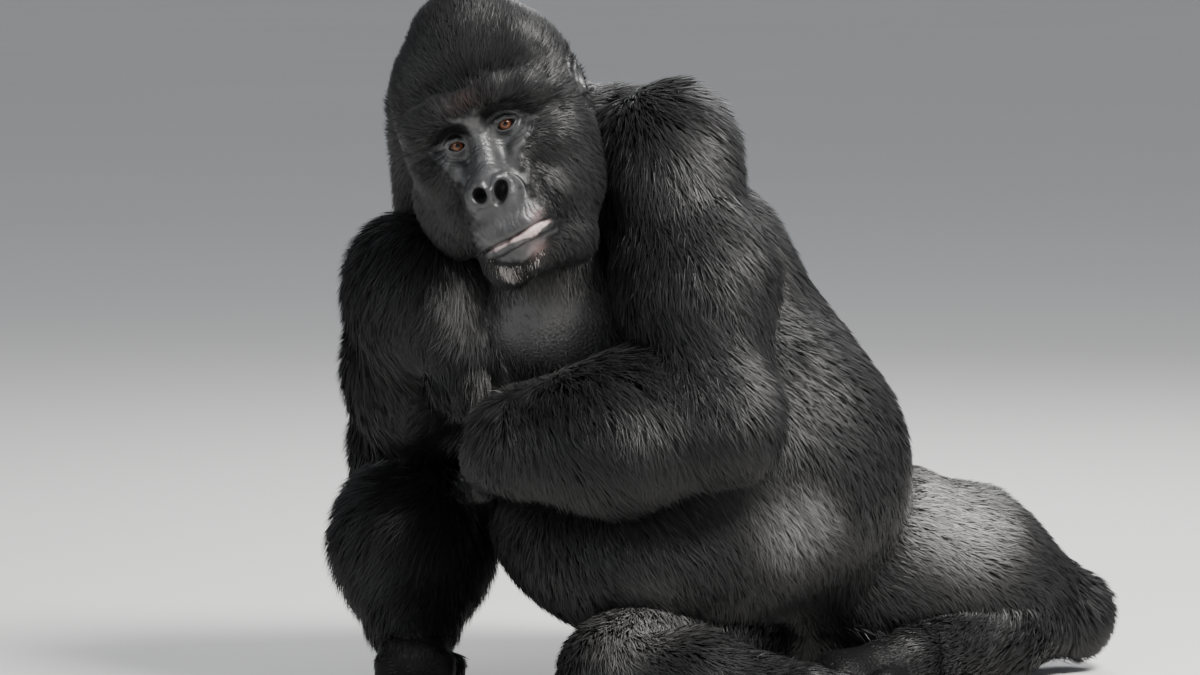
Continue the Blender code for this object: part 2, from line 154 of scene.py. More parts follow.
BARE = Coat("coat_face", 0.000, 0.005, swept(0.5), 0.0006, 1.7)
CHIN = Coat("coat_face", 0.003, 0.013, swept(1.0), 0.0008, 1.7)
CROWN = Coat("coat_crown", 0.011, 0.026, swept(0.2), 0.0009, 2.8)
TEMPLE = Coat("coat_crown", 0.010, 0.023, swept(0.5), 0.0009, 2.8)
CHEEK = Coat("coat_cheeks", 0.011, 0.025, swept(1.1), 0.0009, 2.8)
NAPE = Coat("coat_nape", 0.015, 0.042, swept(1.0), 0.0013, 1.5)
THROAT = Coat("coat_shoulders", 0.010, 0.028, steady(0.1, -0.1, -1.0), 0.0014)
SHOULDERS = Coat("coat_shoulders", 0.018, 0.050, steady(0.15, 0.20, -1.0))
BREAST = Coat("coat_shoulders", 0.003, 0.014, steady(0.3, -0.1, -1.0), 0.0010, 0.8)
BACK = Coat("coat_back", 0.015, 0.045, steady(0.15, 0.20, -1.0), 0.0018, 0.75)
FLANK = Coat("coat_flank", 0.016, 0.044, steady(0.45, 0.05, -0.85))
BELLY = Coat("coat_belly", 0.013, 0.038, steady(0.50, 0.05, -0.80), 0.0017, 0.88)
RUMP = Coat("coat_back", 0.013, 0.040, steady(0.30, 0.30, -0.85), 0.0018, 0.75)
UPPER_L = Coat("coat_upper_arm_left", 0.018, 0.052, steady(0.42, -0.05, -0.85))
LOWER_L = Coat("coat_forearm_left", 0.020, 0.056, steady(0.48, -0.10, -0.85))
UPPER_R = Coat("coat_upper_arm_right", 0.018, 0.052, steady(-0.20, -0.50, -0.85))
LOWER_R = Coat("coat_forearm_right", 0.020, 0.058, steady(-0.35, 0.10, -0.90))
THIGH_L = Coat("coat_thigh_left", 0.013, 0.036, along(HIP_L, KNEE_L, 0.35))
THIGH_R = Coat("coat_legs", 0.012, 0.034, along(HIP_R, KNEE_R, 0.40))
SHIN_L = Coat("coat_legs", 0.010, 0.030, along(KNEE_L, ANKLE_L, 0.30))
SHIN_R = Coat("coat_legs", 0.010, 0.030, along(KNEE_R, ANKLE_R, 0.30))
HAND_L = Coat("coat_feet", 0.002, 0.018, steady(-0.3, 0.8, -0.5), 0.0010, 1.2)
HAND_R = Coat("coat_feet", 0.001, 0.013, steady(0.0, -0.6, -0.8), 0.0009, 0.9)
FOOT_L = Coat("coat_feet", 0.001, 0.011, steady(-0.86, -0.51, -0.3), 0.0009, 0.8)
FOOT_R = Coat("coat_feet", 0.001, 0.011, steady(0.95, 0.10, -0.3), 0.0009, 0.8)
print("on the forearm the coat is", LOWER_L.depth, "deep, and its locks are", LOWER_L.length, "long")

# %% [markdown]
# ## Soft lumps
# Flesh has no edges, so polygons are a poor way to model it. Here each muscle and each bone is a lump,
# a function that says how far a point lies outside it. Lumps join softly, like clay pressed together,
# and a lump can also be carved away. A mesh is made only once, from the finished clay.


# %% Lumps
class Lump:
    """A soft shape: a function that gives distances, how softly it joins, and its coat."""

    def __init__(self, distance, blend, carve, coat):
        self.distance, self.blend, self.carve, self.coat = distance, blend, carve, coat


def egg(centre, radii, turn=(0, 0, 0), blend=0.04, carve=False, coat=BARE):
    """An ellipsoid. turn is in degrees about X, Y and Z."""
    centre, radii = Vector(centre), Vector(radii)
    rows = [tuple(row) for row in Euler([math.radians(a) for a in turn]).to_matrix().transposed()]

    def distance(x, y, z):
        near = far = 0.0
        dx, dy, dz = x - centre.x, y - centre.y, z - centre.z
        for (a, b, c), r in zip(rows, radii):
            share = (dx * a + dy * b + dz * c) / r
            near = near + share**2
            far = far + (share / r) ** 2
        near, far = np.sqrt(near), np.sqrt(far)
        return near * (near - 1) / np.maximum(far, 1e-6)

    return Lump(distance, blend, carve, coat)


def limb(start, end, start_radius, end_radius, blend=0.04, carve=False, coat=BARE):
    """A tapering rod with round ends."""
    start, end = Vector(start), Vector(end)
    run = end - start

    def distance(x, y, z):
        dx, dy, dz = x - start.x, y - start.y, z - start.z
        t = np.clip((dx * run.x + dy * run.y + dz * run.z) / run.length_squared, 0, 1)
        off = np.sqrt((dx - t * run.x) ** 2 + (dy - t * run.y) ** 2 + (dz - t * run.z) ** 2)
        return off - (start_radius + (end_radius - start_radius) * t)

    return Lump(distance, blend, carve, coat)


def string(points, radii, blend=0.02, carve=False, coat=BARE):
    """Rods end to end through points."""
    pairs = zip(points, points[1:], radii, radii[1:])
    return [limb(a, b, ra, rb, blend, carve, coat) for a, b, ra, rb in pairs]


gap = egg((0, 0, 0), (0.1, 0.1, 0.1)).distance(0.13, 0.0, 0.0)
print("from a ball of radius 0.1 to a point at 0.13:", round(float(gap), 3))

# %% [markdown]
# ## Setting lumps down
# An animal is nearly the same on both sides, so what comes in pairs is made by one function, which is told
# the side. The head is modelled upright and facing ahead, where its numbers are easy to choose, and is
# turned last.


# %% Setting lumps down
def mixed(start, end, share):
    """A point between two others."""
    return Vector(start).lerp(Vector(end), share)


def both_sides(make):
    """The lumps that make(side) gives for the animal's left, 1, and for its right, -1."""
    return [lump for side in (1, -1) for lump in make(side)]


def placed(lumps, turn, size, origin):
    """Lumps modelled in a frame of their own, set down at origin."""
    rows = [tuple(row) for row in turn.inverted() * (1 / size)]
    moved = []
    for lump in lumps:

        def distance(x, y, z, lump=lump):
            dx, dy, dz = x - origin.x, y - origin.y, z - origin.z
            own = [dx * a + dy * b + dz * c for a, b, c in rows]
            return lump.distance(*own) * size

        moved.append(Lump(distance, lump.blend * size, lump.carve, lump.coat))
    return moved


print("halfway up the left upper arm", [round(v, 3) for v in mixed(ELBOW_L, SHOULDER_L, 0.5)])

# %% [markdown]
# ## The trunk
# A silverback's trunk is a barrel. The belly is its widest part and hangs forward when the animal sits.
# Above it come the rib cage, the shoulder girdle and a neck that is nearly as thick as the head.


# %% The trunk
def torso():
    """Rump, belly, rib cage, shoulder girdle and neck, from the floor up."""
    return [
        egg((0.305, 0.140, 0.165), (0.195, 0.200, 0.175), blend=0.06, coat=RUMP),
        egg((0.155, 0.005, 0.338), (0.294, 0.262, 0.250), (0, 12, 0), 0.08, coat=BELLY),
        egg((0.060, -0.085, 0.222), (0.205, 0.200, 0.138), (0, 8, 0), 0.08, coat=BELLY),
        egg((0.092, 0.060, 0.450), (0.243, 0.215, 0.190), (10, -17, 0), 0.08, coat=FLANK),
        egg((0.045, 0.045, 0.570), (0.235, 0.190, 0.180), (18, -24, 0), 0.08, coat=FLANK),
        egg((-0.045, 0.010, 0.670), (0.225, 0.150, 0.120), (22, -26, 0), 0.07, coat=SHOULDERS),
        egg((-0.060, -0.075, 0.560), (0.150, 0.110, 0.110), (20, -26, 0), 0.06, coat=BREAST),
        egg((0.070, 0.095, 0.640), (0.130, 0.110, 0.150), (10, -28, 20), 0.05, coat=BACK),
        egg((-0.130, 0.090, 0.570), (0.140, 0.100, 0.140), (10, -20, -10), 0.06, coat=BACK),
        egg((-0.068, -0.125, 0.635), (0.080, 0.070, 0.052), (0, -20, 0), 0.05, coat=THROAT),
        egg((-0.085, -0.020, 0.270), (0.062, 0.090, 0.085), blend=0.06, coat=BELLY),
        egg((0.030, -0.070, 0.793), (0.080, 0.085, 0.086), blend=0.05, coat=SHOULDERS),
        limb((-0.070, 0.010, 0.690), (-0.120, -0.085, 0.800), 0.145, 0.125, 0.06, coat=NAPE),
        limb((-0.170, 0.035, 0.630), (-0.184, -0.045, 0.830), 0.122, 0.119, 0.06, coat=NAPE),
        egg((0.245, 0.225, 0.360), (0.150, 0.080, 0.170), (0, -12, 0), 0.07, coat=BACK),
    ]


print("trunk:", len(torso()), "lumps")

# %% [markdown]
# ## The left arm and hand
# An arm is two tapering rods, with a round deltoid at the shoulder. The radii are those of the coat's
# outline. A finger is a bent string of rods, thickest at its root. This hand is tucked in beside the other
# elbow. Each finger also notes where its nail will sit.

# %% The left arm and hand
FINGER_STEP = 0.026  # from one finger to the next
FINGER_RADII = [0.0195, 0.0180, 0.0135]  # at the root, at the bend and at the tip
nail_spots = []  # (middle of the fingertip, the way it points, the way its nail faces, its radius)


def arm_left():
    upper = mixed(SHOULDER_L, ELBOW_L, 0.45) + Vector((0.018, -0.005, 0.0))
    lower = mixed(ELBOW_L, WRIST_L, 0.55) + Vector((0, 0, -0.003))
    return [
        egg(SHOULDER_L + Vector((0.006, 0.015, 0.002)), (0.110, 0.125, 0.116), blend=0.05, coat=UPPER_L),
        limb(SHOULDER_L, upper, 0.098, 0.108, 0.05, coat=UPPER_L),
        limb(upper, ELBOW_L, 0.108, 0.088, 0.05, coat=UPPER_L),
        limb(ELBOW_L, lower, 0.086, 0.108, 0.05, coat=LOWER_L),
        limb(lower, WRIST_L, 0.108, 0.088, 0.05, coat=LOWER_L),
    ]


def hand_left():
    """Bent back from the wrist and tucked between the belly and the right elbow."""
    palm = Vector((-0.148, -0.180, 0.355))
    lumps = [limb(WRIST_L, palm, 0.060, 0.048, 0.03, coat=HAND_L)]
    for step in range(4):
        base = palm + Vector((-0.012, 0.026, 0.036 - FINGER_STEP * step))
        bend = base + Vector((-0.010, 0.050, -0.008))
        tip = bend + Vector((-0.006, 0.046, -0.016))
        lumps += string([base, bend, tip], FINGER_RADII, blend=0.008, coat=HAND_L)
        nail_spots.append((tip, tip - bend, Vector((-0.9, -0.4, 0.1)), FINGER_RADII[2]))
    return lumps


print("shoulder to elbow", round((ELBOW_L - SHOULDER_L).length, 3))

# %% [markdown]
# ## The right arm and hand
# The animal leans on this arm. Its elbow points backwards, and one lump on its inner side closes the gap to
# the breast. The hand is a fist that stands on the middle bones of its fingers, as a gorilla's does.


# %% The right arm and hand
def arm_right():
    """The arm that the animal leans on."""
    upper = mixed(SHOULDER_R, ELBOW_R, 0.5)
    lower = mixed(ELBOW_R, WRIST_R, 0.60)
    return [
        egg(SHOULDER_R + Vector((-0.002, 0.010, 0.0)), (0.112, 0.120, 0.118), blend=0.05, coat=UPPER_R),
        limb((-0.222, -0.100, 0.575), (-0.198, -0.138, 0.470), 0.070, 0.058, 0.04, coat=UPPER_R),
        limb(SHOULDER_R, upper, 0.104, 0.104, 0.05, coat=UPPER_R),
        limb(upper, ELBOW_R, 0.104, 0.086, 0.05, coat=UPPER_R),
        limb(ELBOW_R, lower, 0.086, 0.112, 0.05, coat=LOWER_R),
        limb(lower, WRIST_R, 0.112, 0.084, 0.05, coat=LOWER_R),
    ]


def hand_right():
    """The fist, with the middle bones of the fingers on the floor."""
    palm = Vector((-0.260, -0.120, 0.067))
    lumps = [limb(WRIST_R, palm, 0.054, 0.048, 0.03, coat=HAND_R)]
    for step in range(4):
        across = (1.5 - step) * FINGER_STEP
        base = palm + Vector((across, -0.022, -0.006))
        knuckle = base + Vector((0.0, -0.034, -0.030))
        tip = knuckle + Vector((0.0, 0.050, -0.020))
        lumps += string([base, knuckle, tip], FINGER_RADII, blend=0.008, coat=HAND_R)
    root = palm + Vector((0.052, 0.010, -0.014))
    tip = root + Vector((0.008, -0.030, -0.020))
    lumps += string([palm, root, tip], [0.024, 0.0165, 0.0125], 0.01, coat=HAND_R)
    nail_spots.append((tip, tip - root, Vector((0.9, -0.3, 0.3)), 0.0125))
    return lumps


print("elbow to wrist", round((WRIST_R - ELBOW_R).length, 3))

# %% [markdown]
# ## Legs and feet
# The left leg lies folded out to the side and the right one is folded in front of the belly.
# A gorilla's foot grips, so its big toe stands off from the others like a thumb.

# %% Legs and feet
TOE_STEP = 0.024
TOE_RADII = [0.0165, 0.0155, 0.0125]
UP = Vector((0, 0, 1))


def thigh_left():
    middle = mixed(HIP_L, KNEE_L, 0.5) + Vector((0, 0, 0.018))
    return [
        egg(HIP_L + Vector((0.030, 0.0, 0.006)), (0.150, 0.150, 0.166), blend=0.05, coat=THIGH_L),
        limb(HIP_L, middle, 0.152, 0.141, 0.05, coat=THIGH_L),
        limb(middle, KNEE_L, 0.141, 0.078, 0.04, coat=THIGH_L),
    ]


def thigh_right():
    middle = mixed(HIP_R, KNEE_R, 0.45)
    return [
        limb(HIP_R, middle, 0.120, 0.100, 0.05, coat=THIGH_R),
        limb(middle, KNEE_R, 0.100, 0.076, 0.04, coat=THIGH_R),
    ]


def shin(knee, ankle, coat):
    """From the knee, along the floor, back to the ankle."""
    start, calf = mixed(knee, ankle, 0.10), mixed(knee, ankle, 0.45)
    return [
        limb(start, calf, 0.062, 0.070, 0.02, coat=coat),
        limb(calf, ankle, 0.070, 0.048, 0.03, coat=coat),
    ]


def foot(ankle, ahead, inward, coat):
    """Heel, sole, four toes and a big toe that stands off like a thumb."""
    heel = ankle - ahead * 0.030 - UP * 0.028
    ball = ankle + ahead * 0.130 - UP * 0.026
    lumps = [
        limb(ankle, ball, 0.042, 0.032, 0.03, coat=coat),
        limb(heel, ball, 0.036, 0.034, 0.03, coat=coat),
        limb(ball - inward * 0.020, ball + inward * 0.022, 0.030, 0.030, 0.03, coat=coat),
    ]
    for step in range(4):
        root = ball + inward * (1.4 - step) * TOE_STEP + ahead * 0.016 - UP * 0.004
        middle = root + ahead * 0.036 + UP * 0.004
        tip = middle + ahead * 0.022 - UP * 0.014
        lumps += string([root, middle, tip], TOE_RADII, blend=0.008, coat=coat)
        nail_spots.append((tip, tip - middle, UP, TOE_RADII[2]))
    root = heel + ahead * 0.085 + inward * 0.030 + UP * 0.004
    bend = root + ahead * 0.040 + inward * 0.034
    tip = root + ahead * 0.080 + inward * 0.036 - UP * 0.006
    lumps += string([root, bend, tip], [0.024, 0.0185, 0.0140], 0.012, coat=coat)
    nail_spots.append((tip, tip - bend, UP, 0.0140))
    return lumps


print("hip to knee", round((KNEE_L - HIP_L).length, 3))

# %% [markdown]
# ## The head
# A silverback's head is tall, with a crest of bone over the skull that anchors its jaw muscles.
# The face is small on it: a bar of brow, deep-set eyes, and a muzzle that stands well forward.
# The parts under hair keep their coats, and what is bare has no depth at all.


# %% The head
def skull():
    """Skull cap with its crest, cheeks, brow, muzzle and jaw, in the head's own frame."""
    lumps = [
        egg((0, 0.010, 0.045), (0.103, 0.112, 0.095), blend=0.05, coat=CROWN),
        egg((0, 0.022, 0.118), (0.090, 0.098, 0.088), blend=0.05, coat=CROWN),
        egg((0, 0.085, 0.020), (0.112, 0.085, 0.125), blend=0.05, coat=NAPE),
        egg((-0.112, 0.036, -0.068), (0.048, 0.074, 0.076), blend=0.04, coat=CHEEK),
        egg((0, -0.060, -0.010), (0.088, 0.050, 0.062), blend=0.03),  # face plate
        egg((0, -0.085, -0.092), (0.066, 0.070, 0.070), blend=0.03),  # muzzle
        egg((-0.002, -0.122, -0.112), (0.055, 0.040, 0.034), blend=0.02),  # upper lip
        egg((-0.002, -0.090, -0.158), (0.052, 0.056, 0.038), blend=0.02, coat=CHIN),
    ]
    lumps += both_sides(
        lambda side: [
            egg((side * 0.072, -0.005, 0.055), (0.057, 0.078, 0.088), blend=0.04, coat=TEMPLE),
            egg((side * 0.073, -0.010, -0.052), (0.050, 0.078, 0.098), (0, 4 * side, 0), 0.05, coat=CHEEK),
            egg((side * 0.038, -0.045, -0.148), (0.046, 0.060, 0.056), (0, -20 * side, 0), 0.03, coat=CHEEK),
            egg((side * 0.060, -0.078, -0.020), (0.034, 0.027, 0.024), blend=0.02),  # cheekbone
        ]
    )
    brow = [(0.086, -0.069, 0.033), (0.068, -0.097, 0.043), (0.036, -0.110, 0.0465)]
    brow += [(0.0, -0.110, 0.043)] + [(-x, y, z) for x, y, z in reversed(brow)]
    lumps += string(brow, [0.015, 0.0185, 0.0195, 0.017, 0.0195, 0.0185, 0.015], blend=0.020)
    lumps.append(egg((-0.004, -0.135, 0.083), (0.034, 0.026, 0.013), blend=0.02, carve=True))
    return lumps


print("skull:", len(skull()), "lumps")

# %% [markdown]
# ## Eyelids
# The eyelids are a shell round each eyeball with an almond cut out of it. The almond is the overlap of two
# circles, the way a draughtsman draws an eye, so two arcs and one width give the whole opening.
# The opening could also be an egg, but an egg has no corners, and an eye's corners are what the viewer sees.

# %% Eyelids
EYE = Vector((0.0360, -0.1000, 0.0090))  # the left eye's centre, in the head's own frame
EYE_LEAN = 0.0015  # the left eye is higher than the right one by twice this
EYE_RADIUS = 0.0125
OPENING = Vector((0.0030, 0, -0.0005))  # the opening's middle, from the eye's centre
EYE_WIDTH = 0.0270  # from corner to corner
UPPER_ARC, LOWER_ARC = 0.0056, 0.0060  # how far each lid's rim bows


def eye_middle(side):
    return Vector((side * EYE.x, EYE.y, EYE.z + side * EYE_LEAN))


def almond(side):
    """The opening between the lids, cut straight back into the head."""
    half = EYE_WIDTH / 2
    upper = (half**2 + UPPER_ARC**2) / (2 * UPPER_ARC)
    lower = (half**2 + LOWER_ARC**2) / (2 * LOWER_ARC)
    middle = eye_middle(side) + OPENING
    lean = math.radians(6 * side)  # the outer corner is a little higher

    def distance(x, y, z):
        dx, dz = x - middle.x, z - middle.z
        across, up = dx * math.cos(lean) + dz * math.sin(lean), dz * math.cos(lean) - dx * math.sin(lean)
        over = np.sqrt(across**2 + (up - UPPER_ARC + upper) ** 2) - upper
        under = np.sqrt(across**2 + (up + LOWER_ARC - lower) ** 2) - lower
        return np.maximum(np.maximum(over, under), y - (EYE.y - 0.002))

    return Lump(distance, 0.0022, True, BARE)


def eye_lids(side):
    """Hollow under the brow, the shell of the lids, the upper one's thick rim, and the opening."""
    middle = eye_middle(side)
    front = EYE.y - EYE_RADIUS

    def at(across, forward, up):
        return (middle.x + side * across, front + forward, middle.z + up)

    rim = [at(-0.014, 0.004, 0.002), at(-0.006, -0.0015, 0.0082)]
    rim += [at(0.006, -0.001, 0.0092), at(0.017, 0.007, 0.005)]
    return [
        egg(middle + Vector((side * 0.001, -0.025, 0.003)), (0.031, 0.0205, 0.0225), blend=0.009, carve=True),
        egg(middle + Vector((0.001, 0.0005, 0.0010)), (0.0178, 0.0158, 0.0172), blend=0.006),
        *string(rim, [0.0016, 0.0026, 0.0026, 0.0016], 0.0035),
        almond(side),
    ]


print("from eye to eye", round((eye_middle(1) - eye_middle(-1)).length * HEAD_SIZE, 4))

# %% [markdown]
# ## The nose
# A gorilla's nostrils are ringed by thick wings that meet over the nose in the shape of a heart. Each ring
# is a bent string of rods laid on the nose pad, and the nostril is carved out after it. The nose is
# modelled upright in a frame of its own and then turned a little, since this one sits askew.

# %% The nose
NOSE = Vector((-0.003, -0.150, -0.067))  # the middle of the nose
NOSE_TURN = Matrix.Rotation(math.radians(12), 3, "Y")  # its right side is a little higher
NOSE_PAD = Vector((0.0375, 0.0215, 0.0290))
NOSTRIL = Vector((0.0140, 0.0, 0.0015))


def on_nose(across, up, proud=0.0):
    """A point of the nose pad's front, in the nose's own frame."""
    left = max(1 - (across / NOSE_PAD.x) ** 2 - (up / NOSE_PAD.z) ** 2, 0)
    return Vector((across, 0.004 - NOSE_PAD.y * math.sqrt(left) - proud, up))


def nose_wing(side):
    """The rim round a nostril, thickest outside, and the nostril itself. The left one is the taller."""
    rim, tall = [], 1.0 + 0.25 * side
    for turn in range(0, 361, 45):
        a, lean = math.radians(turn), math.radians(22)
        across, up = 0.0128 * math.cos(a), 0.0172 * tall * math.sin(a)
        turned_across = across * math.cos(lean) + up * math.sin(lean)
        turned_up = up * math.cos(lean) - across * math.sin(lean)
        rim.append(on_nose(side * (NOSTRIL.x + turned_across), NOSTRIL.z + turned_up, -0.0010))
    mouth_of_it = Vector((side * NOSTRIL.x, -0.0215, NOSTRIL.z))
    depth_of_it = Vector((side * 0.0128, -0.0040, 0.0035))
    return [
        *string(rim, [0.0034] * len(rim), 0.0060),
        egg((side * 0.0265, -0.0020, -0.006), (0.0100, 0.0110, 0.0160), (0, 10 * side, 0), 0.008),
        egg(mouth_of_it, (0.0098, 0.0215, 0.0142 * tall), (0, 22 * side, 0), 0.0045, carve=True),
        egg(depth_of_it, (0.0085, 0.0180, 0.0105 * tall), (0, 22 * side, 0), 0.004, carve=True),
    ]


def nose():
    """The bridge, the pad that carries both nostrils, and the notch over it and the groove under it."""
    bridge = limb((0.001, -0.106, 0.022), (-0.002, -0.141, -0.042), 0.0095, 0.0175, 0.024)
    lumps = [egg((0, 0.004, 0), NOSE_PAD, blend=0.014)]
    lumps += both_sides(nose_wing)
    lumps.append(limb((0, -0.0215, 0.030), (0, -0.0185, 0.013), 0.0045, 0.0022, 0.007, True))
    lumps.append(limb((0, -0.0190, -0.017), (0.001, -0.0165, -0.048), 0.0012, 0.0012, 0.005, True))
    return [bridge] + placed(lumps, NOSE_TURN, 1, NOSE)


print("nose:", len(nose()), "lumps")

# %% [markdown]
# ## Mouth, folds and ears
# The mouth is one line of points that runs crookedly across the muzzle. Each lip is a string of rods beside
# that line, so both follow it. Two more strings make the folds that frame the muzzle and the rolled rims of
# the ears.

# %% Mouth, folds and ears
MOUTH = [(-0.054, -0.126, -0.1365), (-0.026, -0.152, -0.1325), (0.0, -0.1610, -0.1310)]
MOUTH += [(0.024, -0.157, -0.1275), (0.040, -0.143, -0.1245), (0.053, -0.118, -0.1260)]


def beside_mouth(forward, up, ends):
    """The line of the mouth, moved. The mouth is crooked: its left corner is the higher one."""
    return [(x * ends, y + forward, z + up) for x, y, z in MOUTH]


def mouth():
    """The two lips. The line between them is one of the creases below."""
    return [
        *string(beside_mouth(0.006, 0.0080, 0.97), [0.0045, 0.0078, 0.0082, 0.0082, 0.0070, 0.0040], 0.012),
        *string(beside_mouth(0.0060, -0.0072, 0.90), [0.0050, 0.0072, 0.0068, 0.0082, 0.0080, 0.0050], 0.006),
    ]


def cheek_folds():
    """The ridge that runs from the outer corner of each eye down beside the nose."""
    return both_sides(
        lambda side: string(
            [
                (side * 0.074, -0.078, 0.000),
                (side * 0.058, -0.098, -0.014),
                (side * 0.044, -0.112, -0.028),
                (side * 0.038, -0.122, -0.048),
                (side * 0.043, -0.128, -0.078),
                (side * 0.047, -0.128, -0.106),
            ],
            [0.0036, 0.0056, 0.0060, 0.0054, 0.0050, 0.0036],
            0.018,
        )
    )


def ear(side):
    """A small ear: a stem, a bowl and the rolled rim round it."""
    middle = Vector((side * 0.122, -0.002, 0.028))
    rim = []
    for turn in range(-60, 241, 50):
        a = math.radians(turn)
        out = side * (0.005 + 0.003 * math.sin(a))
        rim.append(middle + Vector((out, 0.014 * math.cos(a), 0.020 * math.sin(a))))
    return [
        egg((side * 0.110, 0.006, 0.022), (0.018, 0.012, 0.018), blend=0.01),
        egg(middle, (0.009, 0.016, 0.022), (0, -12 * side, 20 * side), 0.01),
        *string(rim, [0.0040] * len(rim), 0.003),
        egg(middle + Vector((side * 0.010, -0.002, 0.0)), (0.008, 0.009, 0.013), blend=0.004, carve=True),
    ]


def face():
    return cheek_folds() + both_sides(eye_lids) + nose() + mouth() + both_sides(ear)


print("face:", len(face()), "lumps")

# %% [markdown]
# ## The whole animal
# Lumps of one limb melt into each other, and limbs only touch. So the lumps are kept in chains, one for
# each limb.

# %% The whole animal
CHAINS = {
    "torso": torso(),
    "head": placed(skull() + face(), HEAD_TURN, HEAD_SIZE, HEAD),
    "arm_left": arm_left(),
    "hand_left": hand_left(),
    "arm_right": arm_right(),
    "hand_right": hand_right(),
    "thigh_left": thigh_left(),
    "shin_left": shin(KNEE_L, ANKLE_L, SHIN_L),
    "foot_left": foot(ANKLE_L, Vector((-0.86, -0.51, 0)).normalized(), Vector((0.51, -0.86, 0)), FOOT_L),
    "thigh_right": thigh_right(),
    "shin_right": shin(KNEE_R, ANKLE_R, SHIN_R),
    "foot_right": foot(ANKLE_R, Vector((0.95, 0.10, 0)).normalized(), Vector((-0.10, 0.95, 0)), FOOT_R),
}
print("lumps:", sum(len(lumps) for lumps in CHAINS.values()))

# %% [markdown]
# ## From lumps to one skin
# The skin is where the distance to all the lumps together is zero, each lump first shrunk by its coat's
# depth. Where two limbs press together the joint is kept tight, so that a crease shows between them. The
# animal is heavy, so everything under the floor is cut off and leaves a flat, as its weight would.

# %% Distances to the skin
CREASE = 0.010  # how softly two limbs meet
FAR = 1.0


def joined(old, new, blend, carve):
    """Smooth union of two distances, or the first less the second."""
    if carve:
        return -joined(-old, new, blend, False)
    room = np.maximum(blend - np.abs(old - new), 0)
    return np.minimum(old, new) - room**2 / (4 * blend)


def limb_distance(lumps, x, y, z):
    own = np.full(np.shape(x), FAR, np.float32)
    for lump in lumps:
        own = joined(own, lump.distance(x, y, z) + lump.coat.depth, lump.blend, lump.carve)
    return own


def skin_distance(x, y, z, chains=CHAINS):
    """How far points lie outside the skin. The floor presses flats on what rests on it."""
    whole = np.full(np.shape(x), FAR, np.float32)
    for lumps in chains.values():
        whole = joined(whole, limb_distance(lumps, x, y, z), CREASE, False)
    return np.maximum(whole, -z)


print("the belly's middle is", round(float(skin_distance(0.155, 0.005, 0.338)), 3), "from the skin")

# %% [markdown]
# ## Creases of the face
# Fine creases could be painted or bumped in the material, but then they vanish in a side light and in an
# export. Here they are a small push in and out of the surface before the mesh is made. They follow the
# face: across the bridge of the nose, up and down the upper lip, and in arcs under the eyes.


# %% Creases of the face
def smooth(share):
    """Eased from 0 to 1, and level outside that."""
    share = np.clip(share, 0, 1)
    return share * share * (3 - 2 * share)


def bump_between(value, low, high, soft):
    """1 between low and high and 0 outside, with soft ends."""
    return smooth((value - low) / soft) * smooth((high - value) / soft)


def furrows(across, spacing):
    """Narrow grooves, one for each spacing, with rounded folds between them."""
    return -((1 - np.abs(np.sin(math.pi * across / spacing))) ** 3)


def wrinkles(x, y, z):
    """How far the face's creases lie below its surface, in the head's own frame.

    In turn: bars across the bridge of the nose, folds down the upper and the lower lip, bags, crow's feet and
    lid folds round each eye, frown lines, the line of the mouth, and the crease round each wing of the nose.
    """
    wander = 0.0016 * np.sin(x * 190 + z * 70) + 0.0012 * np.sin(z * 260 - x * 90 + 1.0)
    bars = furrows(z + 1.7 * wander + 0.25 * np.abs(x), 0.0074)
    deep = 0.0009 * bars * bump_between(z, -0.040, 0.026, 0.010) * smooth((0.016 - np.abs(x)) / 0.008)
    lip = bump_between(z, -0.126, -0.092, 0.008) * smooth((0.050 - np.abs(x)) / 0.012)
    deep = deep + 0.0009 * furrows(x * (1 + 2.0 * (z + 0.09)) + 1.3 * wander, 0.0070) * lip
    low_lip = bump_between(z, -0.152, -0.134, 0.006) * smooth((0.046 - np.abs(x)) / 0.012)
    deep = deep + 0.0006 * furrows(x + 0.5 * wander, 0.0055) * low_lip
    for side in (1, -1):
        dx, dz = x - side * EYE.x - OPENING.x, z - (EYE.z + 0.002)
        out = np.sqrt(dx**2 + (1.25 * dz) ** 2)
        below = smooth((-dz - 0.004) / 0.008)
        bags = furrows(out + 0.9 * wander, 0.0060)
        deep = deep + 0.0009 * bags * bump_between(out, 0.019, 0.042, 0.006) * below
        crow = smooth((side * dx - 0.014) / 0.008) * bump_between(out, 0.020, 0.046, 0.008)
        deep = deep + 0.0012 * furrows(np.arctan2(dz, side * dx) * 0.030 + 0.6 * wander, 0.0080) * crow
        above = smooth((dz - 0.006) / 0.004) * bump_between(out, 0.014, 0.030, 0.004)
        deep = deep + 0.0009 * furrows(out + 0.4 * wander, 0.0052) * above
    brow = bump_between(z, 0.030, 0.056, 0.008) * smooth((0.022 - np.abs(x)) / 0.010)
    deep = deep + 0.0010 * furrows(x + 0.6 * wander, 0.0085) * brow
    line = np.array(MOUTH)
    off = z - np.interp(x, line[:, 0], line[:, 2])
    deep = deep - 0.0042 * np.exp(-((off / 0.0017) ** 2)) * smooth((0.055 - np.abs(x)) / 0.010)
    dx, dz = x - NOSE.x, z - NOSE.z - 0.21 * (NOSE.x - x)
    round_nose = np.sqrt((dx / NOSE_PAD.x) ** 2 + (dz / NOSE_PAD.z) ** 2)
    wing = np.exp(-(((round_nose - 1.10) / 0.055) ** 2)) * smooth((np.abs(dx) - 0.016) / 0.012)
    deep = deep - 0.0015 * wing * smooth((dz + 0.014) / 0.012) * smooth((0.030 - dz) / 0.01)
    return -deep * smooth((-0.075 - y) / 0.015) * smooth((0.084 - np.abs(x)) / 0.016)


print("the line of the mouth is", round(float(wrinkles(0.0, -0.160, -0.131)), 4), "deep")

# %% [markdown]
# ## Blocks of voxels
# Blender's volume library turns a block of distances into quads. Most of a block is far from the surface,
# so it is split into tiles: one distance for each tile first, and all of a tile's distances only near the
# surface.

